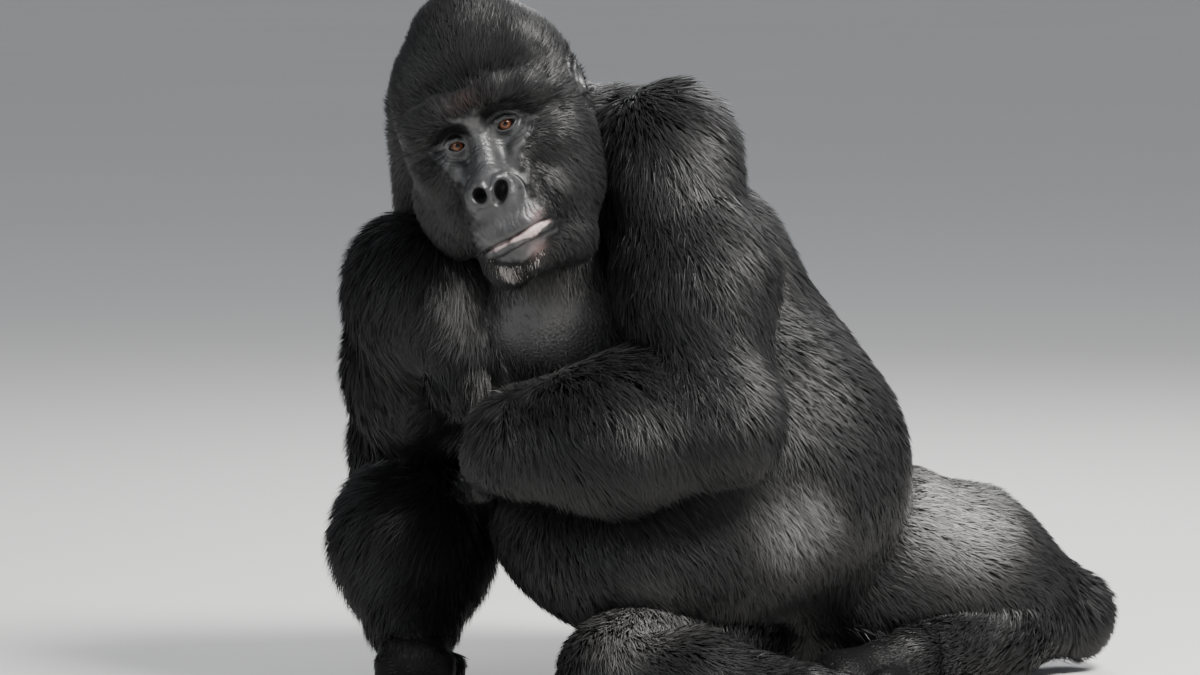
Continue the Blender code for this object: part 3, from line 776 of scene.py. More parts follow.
# %% Blocks of voxels
TILE = 6  # voxels along the side of a tile
SHARE = 20000  # points that one thread works out at a time


def in_shares(distance, points):
    """The distances of many points, worked out by several threads."""
    shares = np.array_split(points, max(1, len(points) // SHARE))
    with ThreadPoolExecutor() as pool:
        return np.concatenate(list(pool.map(distance, shares)))


class Block:
    """A box of voxels with its own frame. reach is half its size."""

    def __init__(self, name, middle, reach, voxel, turn=Matrix.Identity(3), origin=Vector(), size=1.0):
        self.name, self.middle, self.reach, self.voxel = name, np.array(middle), np.array(reach), voxel
        self.turn, self.origin, self.size = np.array(turn), np.array(origin), size

    def outwards(self, points):
        return points @ self.turn.T * self.size + self.origin

    def inwards(self, points):
        return (points - self.origin) @ self.turn / self.size

    def wall(self, points, grown):
        """How far layout points lie outside the block's box, made larger all round."""
        beyond = np.abs(self.inwards(points) - self.middle) - self.reach - grown
        return beyond.max(axis=-1).astype(np.float32)


print("a tile holds", TILE**3, "voxels")

# %% [markdown]
# ## From a block to a mesh
# The volume library finds the surface in a block and lays quads on it. The mesh is then built from flat
# arrays, which is far quicker than adding one face at a time.


# %% From a block to a mesh
def meshed(block, distance):
    """The surface where distance(points) is zero inside the block, as layout points and quads."""
    step = TILE * block.voxel
    counts = np.ceil(2 * (block.reach + 2 * block.voxel) / step).astype(int)
    low = block.middle - counts * step / 2
    starts = low + np.indices(counts).reshape(3, -1).T * step
    rough = in_shares(distance, block.outwards(starts + step / 2 - block.voxel / 2))
    near = np.abs(rough) < step + 0.003
    offsets = np.indices((TILE,) * 3).reshape(3, -1).T * block.voxel
    points = (starts[near][:, None, :] + offsets).reshape(-1, 3)
    tiles = np.repeat(rough[:, None], TILE**3, axis=1)
    tiles[near] = in_shares(distance, block.outwards(points)).reshape(-1, TILE**3)
    tiles = tiles.reshape(*counts, TILE, TILE, TILE).transpose(0, 3, 1, 4, 2, 5).reshape(counts * TILE)
    grid = openvdb.FloatGrid(FAR)
    grid.copyFromArray(np.pad(tiles, 1, constant_values=FAR).astype(np.float32))
    corners, quads = grid.convertToQuads(0.0)
    return block.outwards(low + (corners - 1) * block.voxel), quads


def mesh_object(name, points, loops, sizes):
    """A smooth mesh object from flat arrays: points, the corners of all faces, and how many each face has."""
    mesh = bpy.data.meshes.new(name)
    mesh.vertices.add(len(points))
    mesh.vertices.foreach_set("co", np.asarray(points, np.float32).ravel())
    mesh.loops.add(len(loops))
    mesh.loops.foreach_set("vertex_index", np.asarray(loops, np.int32))
    mesh.polygons.add(len(sizes))
    starts = np.concatenate([[0], np.cumsum(sizes)[:-1]]).astype(np.int32)
    mesh.polygons.foreach_set("loop_start", starts)
    mesh.update(calc_edges=True)
    mesh.shade_smooth()
    made = bpy.data.objects.new(name, mesh)
    bpy.context.scene.collection.objects.link(made)
    return made


# %% [markdown]
# ## One closed skin
# A block of voxels fine enough for an eyelid would be far too big for the whole body. So the body is made
# coarsely, and the face, the ears, the hands and the feet are made again in fine blocks of their own.
# The body has a slightly smaller hole for each of them, and Boolean unions make it all one closed skin.

# %% One closed skin
FINE = 1.0
EAR_REACH = (0.024, 0.026, 0.032)
BODY = Block("body", (0.170, -0.050, 0.545), (0.64, 0.46, 0.58), 0.0082)
blocks = [
    Block("face", (0, -0.118, -0.062), (0.098, 0.072, 0.142), 0.0012 * FINE, HEAD_TURN, HEAD, HEAD_SIZE),
    Block("left_ear", (0.122, 0.002, 0.024), EAR_REACH, 0.0015 * FINE, HEAD_TURN, HEAD, HEAD_SIZE),
    Block("right_ear", (-0.122, 0.002, 0.024), EAR_REACH, 0.0015 * FINE, HEAD_TURN, HEAD, HEAD_SIZE),
    Block("left_hand", (-0.165, -0.095, 0.342), (0.045, 0.075, 0.075), 0.0034 * FINE),
    Block("right_hand", (-0.255, -0.155, 0.045), (0.075, 0.060, 0.052), 0.0028 * FINE),
    Block("left_foot", (0.350, -0.135, 0.045), (0.135, 0.110, 0.055), 0.0034 * FINE),
    Block("right_foot", (0.385, -0.385, 0.045), (0.135, 0.100, 0.055), 0.0034 * FINE),
]
OVERLAP = 0.003  # how far a fine block reaches into the body round it


def plain_distance(points):
    """How far rows of points lie outside the skin."""
    return skin_distance(*points.T.astype(np.float32))


def body_distance(points):
    """The same for the body, with a hole for each fine block."""
    inside = plain_distance(points)
    for block in blocks:
        inside = np.maximum(inside, -block.wall(points, -OVERLAP))
    return inside


def block_distance(block):
    """The same inside one fine block. The one for the face has the creases too."""

    def distance(points):
        inside = plain_distance(points)
        if block.name == "face":
            inside = inside + wrinkles(*block.inwards(points).T.astype(np.float32))
        return np.maximum(inside, block.wall(points, 0))

    return distance


print("blocks:", [block.name for block in blocks])

# %% [markdown]
# ## Joining the blocks
# Two closed meshes that overlap can be joined by a Boolean modifier. Its manifold solver is quick and
# leaves a closed mesh, and it cuts both surfaces exactly where they cross, so no seam shows.


# %% Joining the blocks
def skin_object():
    """The body with every fine block joined to it."""
    points, quads = meshed(BODY, body_distance)
    skin = mesh_object("skin", points + np.array(SHIFT), quads.ravel(), np.full(len(quads), 4))
    print("body", len(quads), "quads")
    for block in blocks:
        points, quads = meshed(block, block_distance(block))
        patch = mesh_object(block.name, points + np.array(SHIFT), quads.ravel(), np.full(len(quads), 4))
        print(block.name, len(quads), "quads")
        union = skin.modifiers.new("Union", "BOOLEAN")
        union.object, union.operation, union.solver = patch, "UNION", "MANIFOLD"
        mesh = bpy.data.meshes.new_from_object(skin.evaluated_get(bpy.context.evaluated_depsgraph_get()))
        skin.modifiers.clear()
        skin.data = mesh
        bpy.data.objects.remove(patch)
    skin.data.name = "skin"
    skin.data.shade_smooth()
    return skin


skin = skin_object()
print("skin", len(skin.data.polygons), "faces")
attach(skin, "root")
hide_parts(*[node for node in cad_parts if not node.startswith("eye_")])

# %% [markdown]
# ## Where the skin shows
# A gorilla's face, soles and ears are bare, and its chest has only a few short hairs. The face's edge is
# given by its half width at a few heights, and everything else, such as the length of the hair round it, is
# worked out from the distance to that edge. Bareness could be painted on, but a function of place serves
# twice: the skin and the hair on it ask the same one and always agree.

# %% Bare places
FACE_HEIGHTS = [-0.172, -0.158, -0.146, -0.135, -0.118, -0.095, -0.045]  # from under the chin up to the brow
FACE_HEIGHTS += [-0.028, -0.012, 0.004, 0.020, 0.030, 0.038]
FACE_WIDTHS = [-0.020, 0.018, 0.044, 0.056, 0.048, 0.042, 0.042]
FACE_WIDTHS += [0.050, 0.062, 0.072, 0.068, 0.048, 0.018]
HEAD_REACH = 0.26  # every part of the head is nearer than this to the point between the ears


def near_head(own):
    """Whether points, in the head's own frame, are on the head at all."""
    return np.linalg.norm(own, axis=1) < HEAD_REACH


def face_gap(own):
    """How far points of the head lie outside the bare face, in the head's own frame."""
    across = np.abs(own[:, 0] + 0.002)
    half = np.interp(own[:, 2], FACE_HEIGHTS, FACE_WIDTHS)
    beside = across - half
    over = np.maximum(own[:, 2] - FACE_HEIGHTS[-1], FACE_HEIGHTS[0] - own[:, 2])
    back = own[:, 1] + 0.050
    return np.maximum(np.maximum(beside, over), back)


def ear_gap(own):
    """How far points lie outside the bare ears, in the head's own frame."""
    middle = np.array((0.124, -0.004, 0.028))
    return np.linalg.norm((np.abs(own * (1, 0, 0)) + own * (0, 1, 1) - middle) / (1, 1, 1.3), axis=1) - 0.022


def ragged(points):
    """A small wandering that keeps the edges of bare places from looking cut out."""
    x, y, z = points.T
    broad = np.sin(210 * x + 3 * np.sin(170 * z))
    return 0.004 * broad + 0.003 * np.sin(390 * z - 250 * y + 2 * np.sin(310 * x))


print("from the face's edge to the crest", round(float(face_gap(np.array([(0.0, 0.02, 0.2)]))[0]), 3))

# %% [markdown]
# ## How bare a place is
# The gaps become shares: 1 where the skin shows and 0 under the coat, with a soft edge between. The band
# under the brow has a few hairs, and its skin takes the dark colour of skin under the coat as painted shadow.

# %% How bare a place is
# where the band of painted shadow under the brow runs: its height at points across the face
BROW_SHADOW_ACROSS = [-0.088, -0.045, -0.016, 0.003, 0.014, 0.040, 0.062, 0.074]  # from right to left
BROW_SHADOW_HEIGHTS = [0.024, 0.030, 0.027, 0.012, 0.032, 0.037, 0.027, 0.012]
CHEST = Vector((-0.074, -0.170, 0.538))
CHEST_REACH = Vector((0.110, 0.100, 0.075))


def brow_shade(own):
    """1 in the band of painted shadow between the brow and the lids. It runs lower on the right side of the
    face.
    """
    across = own[:, 0]
    middle = np.interp(across, BROW_SHADOW_ACROSS, BROW_SHADOW_HEIGHTS)
    tall = np.interp(across, [-0.088, -0.060, 0.0, 0.040, 0.074], [0.007, 0.010, 0.009, 0.007, 0.005])
    inside = smooth((tall + 0.003 - np.abs(own[:, 2] - middle)) / 0.006)
    off_nose = smooth((np.abs(across - 0.004) - 0.005) / 0.010)
    before_temple = smooth((0.086 - np.abs(across)) / 0.012)
    return inside * off_nose * before_temple * (own[:, 1] < -0.06)


def bare_share(points, normals, edge=0.012):
    """1 where the skin shows and 0 under the coat, with a soft edge of the given width."""
    own = to_head(points)
    face = smooth(0.5 - (face_gap(own) + ragged(own)) / edge)
    ears = smooth(-ear_gap(own) / 0.006)
    away = np.linalg.norm((points - np.array(CHEST)) / np.array(CHEST_REACH), axis=1)
    chest = smooth(2.2 - 2.2 * away - 14 * ragged(points))
    soles = smooth((0.030 - points[:, 2]) / 0.010) * smooth((-normals[:, 2] - 0.3) / 0.2)
    return np.maximum.reduce([face, ears, 0.70 * chest, soles])


def mesh_arrays(mesh):
    """Points and normals of a mesh's vertices, in the layout."""
    points = np.empty(len(mesh.vertices) * 3, np.float32)
    normals = np.empty(len(mesh.vertices) * 3, np.float32)
    mesh.vertices.foreach_get("co", points)
    mesh.vertices.foreach_get("normal", normals)
    return points.reshape(-1, 3) - np.array(SHIFT, np.float32), normals.reshape(-1, 3)


skin_points, skin_normals = mesh_arrays(skin.data)
print("points of the skin:", len(skin_points))

# %% [markdown]
# ## Where the hair is grey
# An old male has a silver saddle, which runs down over the flank and the thigh, and grey hairs in a few
# smaller places. Each is a soft round patch with no edge, and one is a streak down the inner side of the
# right arm. The streak and the patches over the belly, the right knee and the left upper arm are partly
# painted highlight, where the coat catches the light.

# %% Grey places
GREY_AND_SHEEN_PATCHES = [  # middle, reach and strength of each grey place
    ((0.200, 0.310, 0.400), 0.205, 0.95),
    ((0.060, 0.260, 0.580), 0.130, 0.60),
    ((0.330, 0.290, 0.200), 0.185, 0.95),
    # this patch over the belly, and those on the right knee and the left upper arm, are partly grey hair and
    # partly painted sheen
    ((0.262, -0.212, 0.283), 0.058, 0.40),
    ((0.500, 0.030, 0.278), 0.092, 0.75),
    ((0.400, 0.180, 0.260), 0.110, 0.60),
    ((0.060, -0.310, 0.145), 0.070, 0.34),
    ((0.190, -0.110, 0.640), 0.080, 0.14),
    ((-0.074, -0.170, 0.545), 0.085, 0.30),
]
# grey hair with a painted highlight of sunlight along the inner ridge of the right arm
SUNLIT_STREAK = (-0.204, 0.600), (-0.136, 0.440)  # x and z of its ends, on the inner side of the right arm
SUNLIT_STREAK_REACH, SUNLIT_STREAK_STRENGTH = 0.019, 0.9


def silver_share(points):
    """How grey the hair is: round patches, and the streak on the arm, which is partly a painted highlight of
    sunlight.
    """
    found = np.zeros(len(points))
    for middle, reach, strength in GREY_AND_SHEEN_PATCHES:
        away = np.linalg.norm(points - np.array(middle), axis=1) / reach
        found = np.maximum(found, strength * np.exp(-(away**3)))
    start, way = np.array(SUNLIT_STREAK[0]), np.array(SUNLIT_STREAK[1]) - np.array(SUNLIT_STREAK[0])
    flat = points[:, [0, 2]] - start
    share = np.clip(flat @ way / (way @ way), 0, 1)
    away = (np.linalg.norm(flat - share[:, None] * way, axis=1) + 1.2 * ragged(points)) / SUNLIT_STREAK_REACH
    on_arm = (points[:, 1] < -0.06) * (points[:, 1] > -0.26)
    return np.maximum(found, SUNLIT_STREAK_STRENGTH * np.exp(-(away**2)) * on_arm)


print("grey at the rump", round(float(silver_share(np.array([(0.33, 0.3, 0.2)]))[0]), 2))

# %% [markdown]
# ## Pale and pink places
# The lower lip is pale and thickest left of its middle, with a pink blot under it. All such places are
# stored on the mesh as numbers from 0 to 1, one for each point, so the colours stay put whatever happens to
# the mesh later.

# %% Pale and pink places
LIP_ACROSS = [-0.050, -0.028, -0.004, 0.014, 0.030, 0.048]  # from the right corner of the mouth to the left
LIP_THICK = [0.005, 0.0085, 0.0065, 0.009, 0.0150, 0.008]
PINK_SPOTS = [  # middle and reach: under the lip, and over its left corner
    ((0.021, -0.145, -0.160), (0.011, 0.03, 0.017)),
    ((0.041, -0.148, -0.114), (0.009, 0.02, 0.009)),
]
# painted light: how much the middle of the chest is greyed as if sunlit, and how far
CHEST_SUNLIGHT, CHEST_SUNLIGHT_REACH = 0.7, (0.075, 0.1, 0.05)  # how grey the middle of the chest is, and how far


def lip_share(own):
    """1 on the pale lower lip, in the head's own frame."""
    line = np.array(MOUTH)
    rim = np.interp(own[:, 0], line[:, 0], line[:, 2])
    thick = np.interp(own[:, 0], LIP_ACROSS, LIP_THICK)
    below = rim - own[:, 2]
    inside = smooth((below + 0.001) / 0.002) * smooth((thick - below) / 0.003)
    ends = smooth((0.052 - own[:, 0]) / 0.006) * smooth((own[:, 0] + 0.054) / 0.040)
    return inside * ends * (own[:, 1] < -0.10)


def blot(own, middle, reach):
    """A soft round spot: 1 in its middle and 0 well outside its reach."""
    away = (own - np.array(middle)) / np.array(reach)
    return np.exp(-(np.linalg.norm(away, axis=1) ** 2))


def pink_share(own):
    """1 in the middle of a pink spot."""
    return np.max([blot(own, *spot) for spot in PINK_SPOTS], axis=0)


def store(mesh, name, values):
    """A number for each point of the mesh, which a material can read by name."""
    attribute = mesh.attributes.new(name, "FLOAT", "POINT")
    attribute.data.foreach_set("value", np.asarray(values, np.float32))


own_skin = to_head(skin_points)
on_head = near_head(own_skin)
# painted shadow under the brow: there the skin counts as less bare and takes the dark colour of skin under the
# coat
shadow_under_brow = brow_shade(own_skin) * on_head
bare = bare_share(skin_points, skin_normals, 0.024) * (1 - shadow_under_brow)
# painted light: the middle of the chest is made lighter grey, as if the sun fell on it
chest_sunlight = CHEST_SUNLIGHT * blot(skin_points, CHEST, CHEST_SUNLIGHT_REACH)
store(skin.data, "bare", bare)
store(skin.data, "lip", lip_share(own_skin) * on_head)
store(skin.data, "pink", 0.55 * pink_share(own_skin) * on_head)
# grey of the skin under grey hair, with painted highlight, and the painted sunlight on the chest
store(skin.data, "silver", np.maximum(np.minimum(silver_share(skin_points), 0.9), chest_sunlight))
store(skin.data, "coarse", np.where(on_head, 0.15, 0.80))
print("bare points:", int((bare > 0.5).sum()))

# %% [markdown]
# ## Helpers for materials
# A material is a graph of nodes. These helpers add a node with its settings, a ramp of colours, and a blend
# of two colours by one of the stored numbers, so that each material below reads from its pattern to its
# shader.


# %% Helpers for materials
def new_material(name):
    made = bpy.data.materials.new(name)
    made.use_nodes = True
    return made, made.node_tree.nodes, made.node_tree.links


def add(nodes, kind, **settings):
    node = nodes.new(kind)
    for key, value in settings.items():
        if key in node.inputs:
            node.inputs[key].default_value = value
        else:
            setattr(node, key, value)
    return node


def ramp(nodes, stops):
    made = nodes.new("ShaderNodeValToRGB")
    while len(made.color_ramp.elements) < len(stops):
        made.color_ramp.elements.new(0.5)
    for element, (place, colour) in zip(made.color_ramp.elements, stops):
        element.position, element.color = place, (*colour, 1)
    return made


def blend_colour(nodes, links, share, first, second):
    """first where share is 0 and second where it is 1. Each is a socket or a colour."""
    mix = add(nodes, "ShaderNodeMix", data_type="RGBA")
    links.new(share, mix.inputs["Factor"])
    for socket, value in ((mix.inputs[6], first), (mix.inputs[7], second)):
        if isinstance(value, tuple):
            socket.default_value = (*value, 1)
        else:
            links.new(value, socket)
    return mix.outputs[2]


print("materials so far:", len(bpy.data.materials))

# %% [markdown]
# ## The skin's finish
# Gorilla skin is black leather: dark, a little shiny, and finely creased all over. Under the coat it is
# darkest and has hardly any shine, so the gaps between locks stay black. Creases and pores are too many to
# model, so they are three layers of bump, from coarse to fine. One noise mottles the colour and another
# makes the shine uneven.

# %% Skin material
UNDER_COAT = (0.0065, 0.0062, 0.0063)
DARK_LEATHER, LEATHER, WORN_LEATHER = (0.013, 0.013, 0.014), (0.029, 0.029, 0.030), (0.062, 0.060, 0.060)
GREY_SKIN, PINK_SKIN = (0.085, 0.083, 0.082), (0.17, 0.12, 0.115)
DARK_LIP, LIP, PALE_LIP = (0.10, 0.065, 0.062), (0.36, 0.27, 0.26), (0.55, 0.46, 0.445)


def leather_material():
    made, nodes, links = new_material("black_leather")
    shader = nodes["Principled BSDF"]
    place = add(nodes, "ShaderNodeTexCoord")
    mottle = add(nodes, "ShaderNodeTexNoise", Scale=38.0, Detail=6.0, Roughness=0.6)
    lines = add(nodes, "ShaderNodeTexVoronoi", Scale=150.0, feature="DISTANCE_TO_EDGE")
    pores = add(nodes, "ShaderNodeTexVoronoi", Scale=420.0, feature="DISTANCE_TO_EDGE")
    grain = add(nodes, "ShaderNodeTexNoise", Scale=260.0, Detail=5.0, Roughness=0.65)
    for texture in (mottle, lines, pores, grain):
        links.new(place.outputs["Object"], texture.inputs["Vector"])
    leather = ramp(nodes, [(0.30, DARK_LEATHER), (0.52, LEATHER), (0.72, WORN_LEATHER)])
    links.new(mottle.outputs["Fac"], leather.inputs["Fac"])
    shares = {}
    for name in ("bare", "lip", "pink", "silver", "coarse"):
        shares[name] = add(nodes, "ShaderNodeAttribute", attribute_name=name).outputs["Fac"]
    lips = ramp(nodes, [(0.38, DARK_LIP), (0.50, LIP), (0.66, PALE_LIP)])
    links.new(mottle.outputs["Fac"], lips.inputs["Fac"])
    # where the bare share is lowered under the brow, this dark colour is painted shadow
    colour = blend_colour(nodes, links, shares["bare"], UNDER_COAT, leather.outputs["Color"])
    # grey skin under grey hair, partly painted highlight, and painted sunlight on the chest
    colour = blend_colour(nodes, links, shares["silver"], colour, GREY_SKIN)
    colour = blend_colour(nodes, links, shares["pink"], colour, PINK_SKIN)
    colour = blend_colour(nodes, links, shares["lip"], colour, lips.outputs["Color"])
    links.new(colour, shader.inputs["Base Color"])
    normal = None
    reliefs = [(lines, "Distance", 0.5, 0.0022), (pores, "Distance", 0.40, 0.0006)]
    reliefs += [(grain, "Fac", 0.45, 0.0008)]
    for texture, socket, strength, reach in reliefs:
        bump = add(nodes, "ShaderNodeBump", Strength=strength, Distance=reach)
        links.new(texture.outputs[socket], bump.inputs["Height"])
        if texture is lines:  # the deep lines are faint on the head
            links.new(shares["coarse"], bump.inputs["Strength"])
        if normal:
            links.new(normal, bump.inputs["Normal"])
        normal = bump.outputs["Normal"]
    links.new(normal, shader.inputs["Normal"])
    gloss = add(nodes, "ShaderNodeMapRange")
    gloss.inputs["To Min"].default_value, gloss.inputs["To Max"].default_value = 0.35, 0.54
    links.new(grain.outputs["Fac"], gloss.inputs["Value"])
    links.new(gloss.outputs["Result"], shader.inputs["Roughness"])
    shine = add(nodes, "ShaderNodeMapRange")  # the skin under the coat is dull
    shine.inputs["To Min"].default_value, shine.inputs["To Max"].default_value = 0.08, 0.58
    links.new(shares["bare"], shine.inputs["Value"])
    links.new(shine.outputs["Result"], shader.inputs["Specular IOR Level"])
    return made


skin.data.materials.clear()
skin.data.materials.append(leather_material())
print("skin material:", skin.data.materials[0].name)

# %% [markdown]
# ## Colours of the eye
# A gorilla's iris is amber with a dark rim, and the white of its eye is brown. The colours depend only on
# how far a point lies from the eye's own axis, so one ramp over that distance gives pupil, iris, rim and
# white.

# %% Eye material
IRIS_RADIUS = 0.0082
PUPIL_RADIUS = 0.0027


def eye_material():
    made, nodes, links = new_material("amber_eye")
    shader = nodes["Principled BSDF"]
    place = add(nodes, "ShaderNodeTexCoord")
    flat = add(nodes, "ShaderNodeVectorMath", operation="MULTIPLY")
    flat.inputs[1].default_value = (1, 1, 0)
    reach = add(nodes, "ShaderNodeVectorMath", operation="LENGTH")
    share = add(nodes, "ShaderNodeMapRange")
    share.inputs["From Max"].default_value = EYE_RADIUS
    links.new(place.outputs["Object"], flat.inputs[0])
    links.new(flat.outputs["Vector"], reach.inputs[0])
    links.new(reach.outputs["Value"], share.inputs["Value"])
    pupil, iris = PUPIL_RADIUS / EYE_RADIUS, IRIS_RADIUS / EYE_RADIUS
    rings = ramp(
        nodes,
        [
            (pupil * 0.90, (0.003, 0.002, 0.002)),
            (pupil * 1.15, (0.065, 0.025, 0.012)),
            (iris * 0.55, (0.136, 0.051, 0.023)),
            (iris * 0.82, (0.110, 0.042, 0.020)),
            (iris * 0.98, (0.012, 0.006, 0.004)),
            (iris * 1.15, (0.022, 0.012, 0.009)),
            (1.0, (0.05, 0.033, 0.026)),
        ],
    )
    links.new(share.outputs["Result"], rings.inputs["Fac"])
    rays = add(nodes, "ShaderNodeTexNoise", Scale=900.0, Detail=3.0)
    links.new(place.outputs["Object"], rays.inputs["Vector"])
    shade = add(nodes, "ShaderNodeMapRange")
    shade.inputs["To Min"].default_value, shade.inputs["To Max"].default_value = 0.55, 1.35
    links.new(rays.outputs["Fac"], shade.inputs["Value"])
    tinted = add(nodes, "ShaderNodeVectorMath", operation="MULTIPLY")
    links.new(rings.outputs["Color"], tinted.inputs[0])
    links.new(shade.outputs["Result"], tinted.inputs[1])
    links.new(tinted.outputs["Vector"], shader.inputs["Base Color"])
    shader.inputs["Roughness"].default_value = 0.35
    shader.inputs["Specular IOR Level"].default_value = 0.05
    shader.inputs["Coat Weight"].default_value = 0.5
    shader.inputs["Coat Roughness"].default_value = 0.03
    return made


amber = eye_material()
print("eye material:", amber.name)

# %% [markdown]
# ## Eyeballs
# An eye is a ball with a second, smaller ball, the cornea, standing out of its front. The bulge catches the
# light, and without it an eye looks flat and blind. Both eyes turn to the same spot ahead, where the camera
# is.

# %% Eyeballs
CAMERA_PLACE = SHIFT + Vector((0, -6.973, 1.119))
CORNEA_RADIUS = IRIS_RADIUS * 1.08
CORNEA_BULGE = 0.0012


def eyeball(name, side, finish):
    ball = bmesh.new()
    bmesh.ops.create_uvsphere(ball, u_segments=64, v_segments=48, radius=EYE_RADIUS * HEAD_SIZE)
    for vert in ball.verts:
        out = math.hypot(vert.co.x, vert.co.y) / CORNEA_RADIUS
        if vert.co.z > 0 and out < 1:
            vert.co.z += CORNEA_BULGE * (1 - out * out)
    mesh = bpy.data.meshes.new(name)
    ball.to_mesh(mesh)
    ball.free()
    mesh.shade_smooth()
    mesh.materials.append(finish)
    made = bpy.data.objects.new(name, mesh)
    bpy.context.scene.collection.objects.link(made)
    made.location = head_point(eye_middle(side)) + SHIFT
    made.rotation_euler = (CAMERA_PLACE - made.location).to_track_quat("Z", "Y").to_euler()
    return made


for side, word in ((1, "left"), (-1, "right")):
    ball = eyeball(f"eyeball_{word}", side, amber)
    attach(ball, "root")
    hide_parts(f"eye_{word}")
    print(ball.name, [round(v, 4) for v in ball.location])

# %% [markdown]
# ## Nails
# Apes have flat nails in place of claws. Each is a thin shield, bent round the tip of its finger or toe.
# The lumps of the hands and feet have already noted where each nail sits and which way it faces.

# %% Nails
NAIL_WIDE, NAIL_LONG = 0.74, 0.86  # half its width and half its length, as shares of the fingertip's radius
NAIL_THICK = 0.0016
NAIL_BEND = 2.6  # the radius of its arch is half of this, as a share of the fingertip's


def nail_material():
    made, nodes, links = new_material("nail")
    shader = nodes["Principled BSDF"]
    place = add(nodes, "ShaderNodeTexCoord")
    streaks = add(nodes, "ShaderNodeTexNoise", Scale=300.0, Detail=3.0)
    links.new(place.outputs["Object"], streaks.inputs["Vector"])
    colour = ramp(nodes, [(0.35, (0.016, 0.015, 0.015)), (0.65, (0.060, 0.055, 0.050))])
    links.new(streaks.outputs["Fac"], colour.inputs["Fac"])
    links.new(colour.outputs["Color"], shader.inputs["Base Color"])
    shader.inputs["Roughness"].default_value = 0.30
    return made


def nails_object():
    joined_nails = bmesh.new()
    for tip, way, facing, radius in nail_spots:
        one = bmesh.new()
        bmesh.ops.create_uvsphere(one, u_segments=20, v_segments=12, radius=1.0)
        for vert in one.verts:
            x, y, z = vert.co
            arch = (x * radius) ** 2 / (NAIL_BEND * radius)
            vert.co = (x * radius * NAIL_WIDE, y * radius * NAIL_LONG, z * NAIL_THICK - arch)
        ahead = way.normalized()
        up = (facing - ahead * facing.dot(ahead)).normalized()
        turn = Matrix((ahead.cross(up), ahead, up)).transposed().to_4x4()
        place = Matrix.Translation(tip + SHIFT + up * (radius * 0.93) + ahead * (radius * 0.35))
        bmesh.ops.transform(one, matrix=place @ turn, verts=one.verts)
        spare = bpy.data.meshes.new("one_nail")
        one.to_mesh(spare)
        one.free()
        joined_nails.from_mesh(spare)
        bpy.data.meshes.remove(spare)
    mesh = bpy.data.meshes.new("nails")
    joined_nails.to_mesh(mesh)
    joined_nails.free()
    mesh.shade_smooth()
    mesh.materials.append(nail_material())
    made = bpy.data.objects.new("nails", mesh)
    bpy.context.scene.collection.objects.link(made)
    return made


nails = nails_object()
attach(nails, "root")
print("nails:", len(nail_spots))

# %% [markdown]
# ## The coat at any point
# The coats named above belong to lumps, and between lumps the hair changes gradually. So every point of the
# skin gets a blend of all coats, in which the coats of the nearest lumps weigh most.

# %% The coat at any point
BLEND_REACH = 0.016  # how far coats of neighbouring lumps run into each other
COATS = {lump.coat for lumps in CHAINS.values() for lump in lumps}
COATS = sorted(COATS, key=lambda coat: (coat.piece, coat.length, coat.depth))
PIECES = sorted({coat.piece for coat in COATS})  # the names of the coat's meshes


def coats_at(points):
    """Depth, length, width, density, lie and piece of the coat at each point."""
    x, y, z = points.T.astype(np.float32)
    sums = np.zeros((len(points), 5))
    lie = np.zeros((len(points), 3))
    shares = np.zeros((len(points), len(PIECES)))
    for coat in COATS:
        weight = np.full(len(points), 1e-12)
        for lumps in CHAINS.values():
            for lump in lumps:
                if lump.coat is coat and not lump.carve:
                    near = np.exp(-np.abs(lump.distance(x, y, z) + coat.depth) / BLEND_REACH)
                    weight = np.maximum(weight, near)
        if coat is BARE:  # the face's small lumps would drown the coat round them
            weight = 0.01 * weight
        numbers = (coat.depth, coat.length, coat.width, coat.density, 1.0)
        sums += weight[:, None] * np.array(numbers)
        lie += weight[:, None] * coat.lie(points)
        shares[:, PIECES.index(coat.piece)] += weight
    sums /= sums[:, 4:]
    return (*sums[:, :4].T, lie, shares.argmax(axis=1))


print("coats:", len(COATS), "in pieces:", PIECES)

# %% [markdown]
# ## Roots of the coat
# Hair could be a particle system, but a mesh survives export and can be shaded like anything else.
# So the coat is nearly half a million locks, each a thin ribbon of three triangles that tapers to a point.
# Their roots are strewn over the skin, by its area and by how dense the coat is there. None grows on the bare
# face or where two limbs press together, but the chest and the band of painted shadow under the brow have a
# few.

# %% Roots
LOCKS = 470000
chance = np.random.default_rng(7)


def strewn(mesh, points, density, count):
    """Roots over a mesh: their places and the smooth normals there."""
    mesh.calc_loop_triangles()
    corners = np.empty(len(mesh.loop_triangles) * 3, np.int32)
    mesh.loop_triangles.foreach_get("vertices", corners)
    corners = corners.reshape(-1, 3)
    a, b, c = (points[corners[:, i]].astype(float) for i in range(3))
    area = np.linalg.norm(np.cross(b - a, c - a), axis=1) / 2
    heap = np.cumsum(area * density[corners].mean(axis=1))
    picks = np.searchsorted(heap, (np.arange(count) + chance.random(count)) / count * heap[-1])
    picks = corners[np.minimum(picks, len(corners) - 1)]
    u, v = chance.random((2, count))
    over = u + v > 1
    u[over], v[over] = 1 - u[over], 1 - v[over]
    shares = np.stack([1 - u - v, u, v], axis=1)[:, :, None]
    return (points[picks] * shares).sum(axis=1), (skin_normals[picks] * shares).sum(axis=1)


def unit(vectors):
    """Vectors of length 1."""
    return vectors / np.maximum(np.linalg.norm(vectors, axis=1, keepdims=True), 1e-9)


def open_share(points, normals):
    """1 where there is room for hair over the skin, and 0 where another limb lies on it."""
    out = (points + normals * 0.020).T.astype(np.float32)
    return smooth((skin_distance(*out) - 0.001) / 0.006)


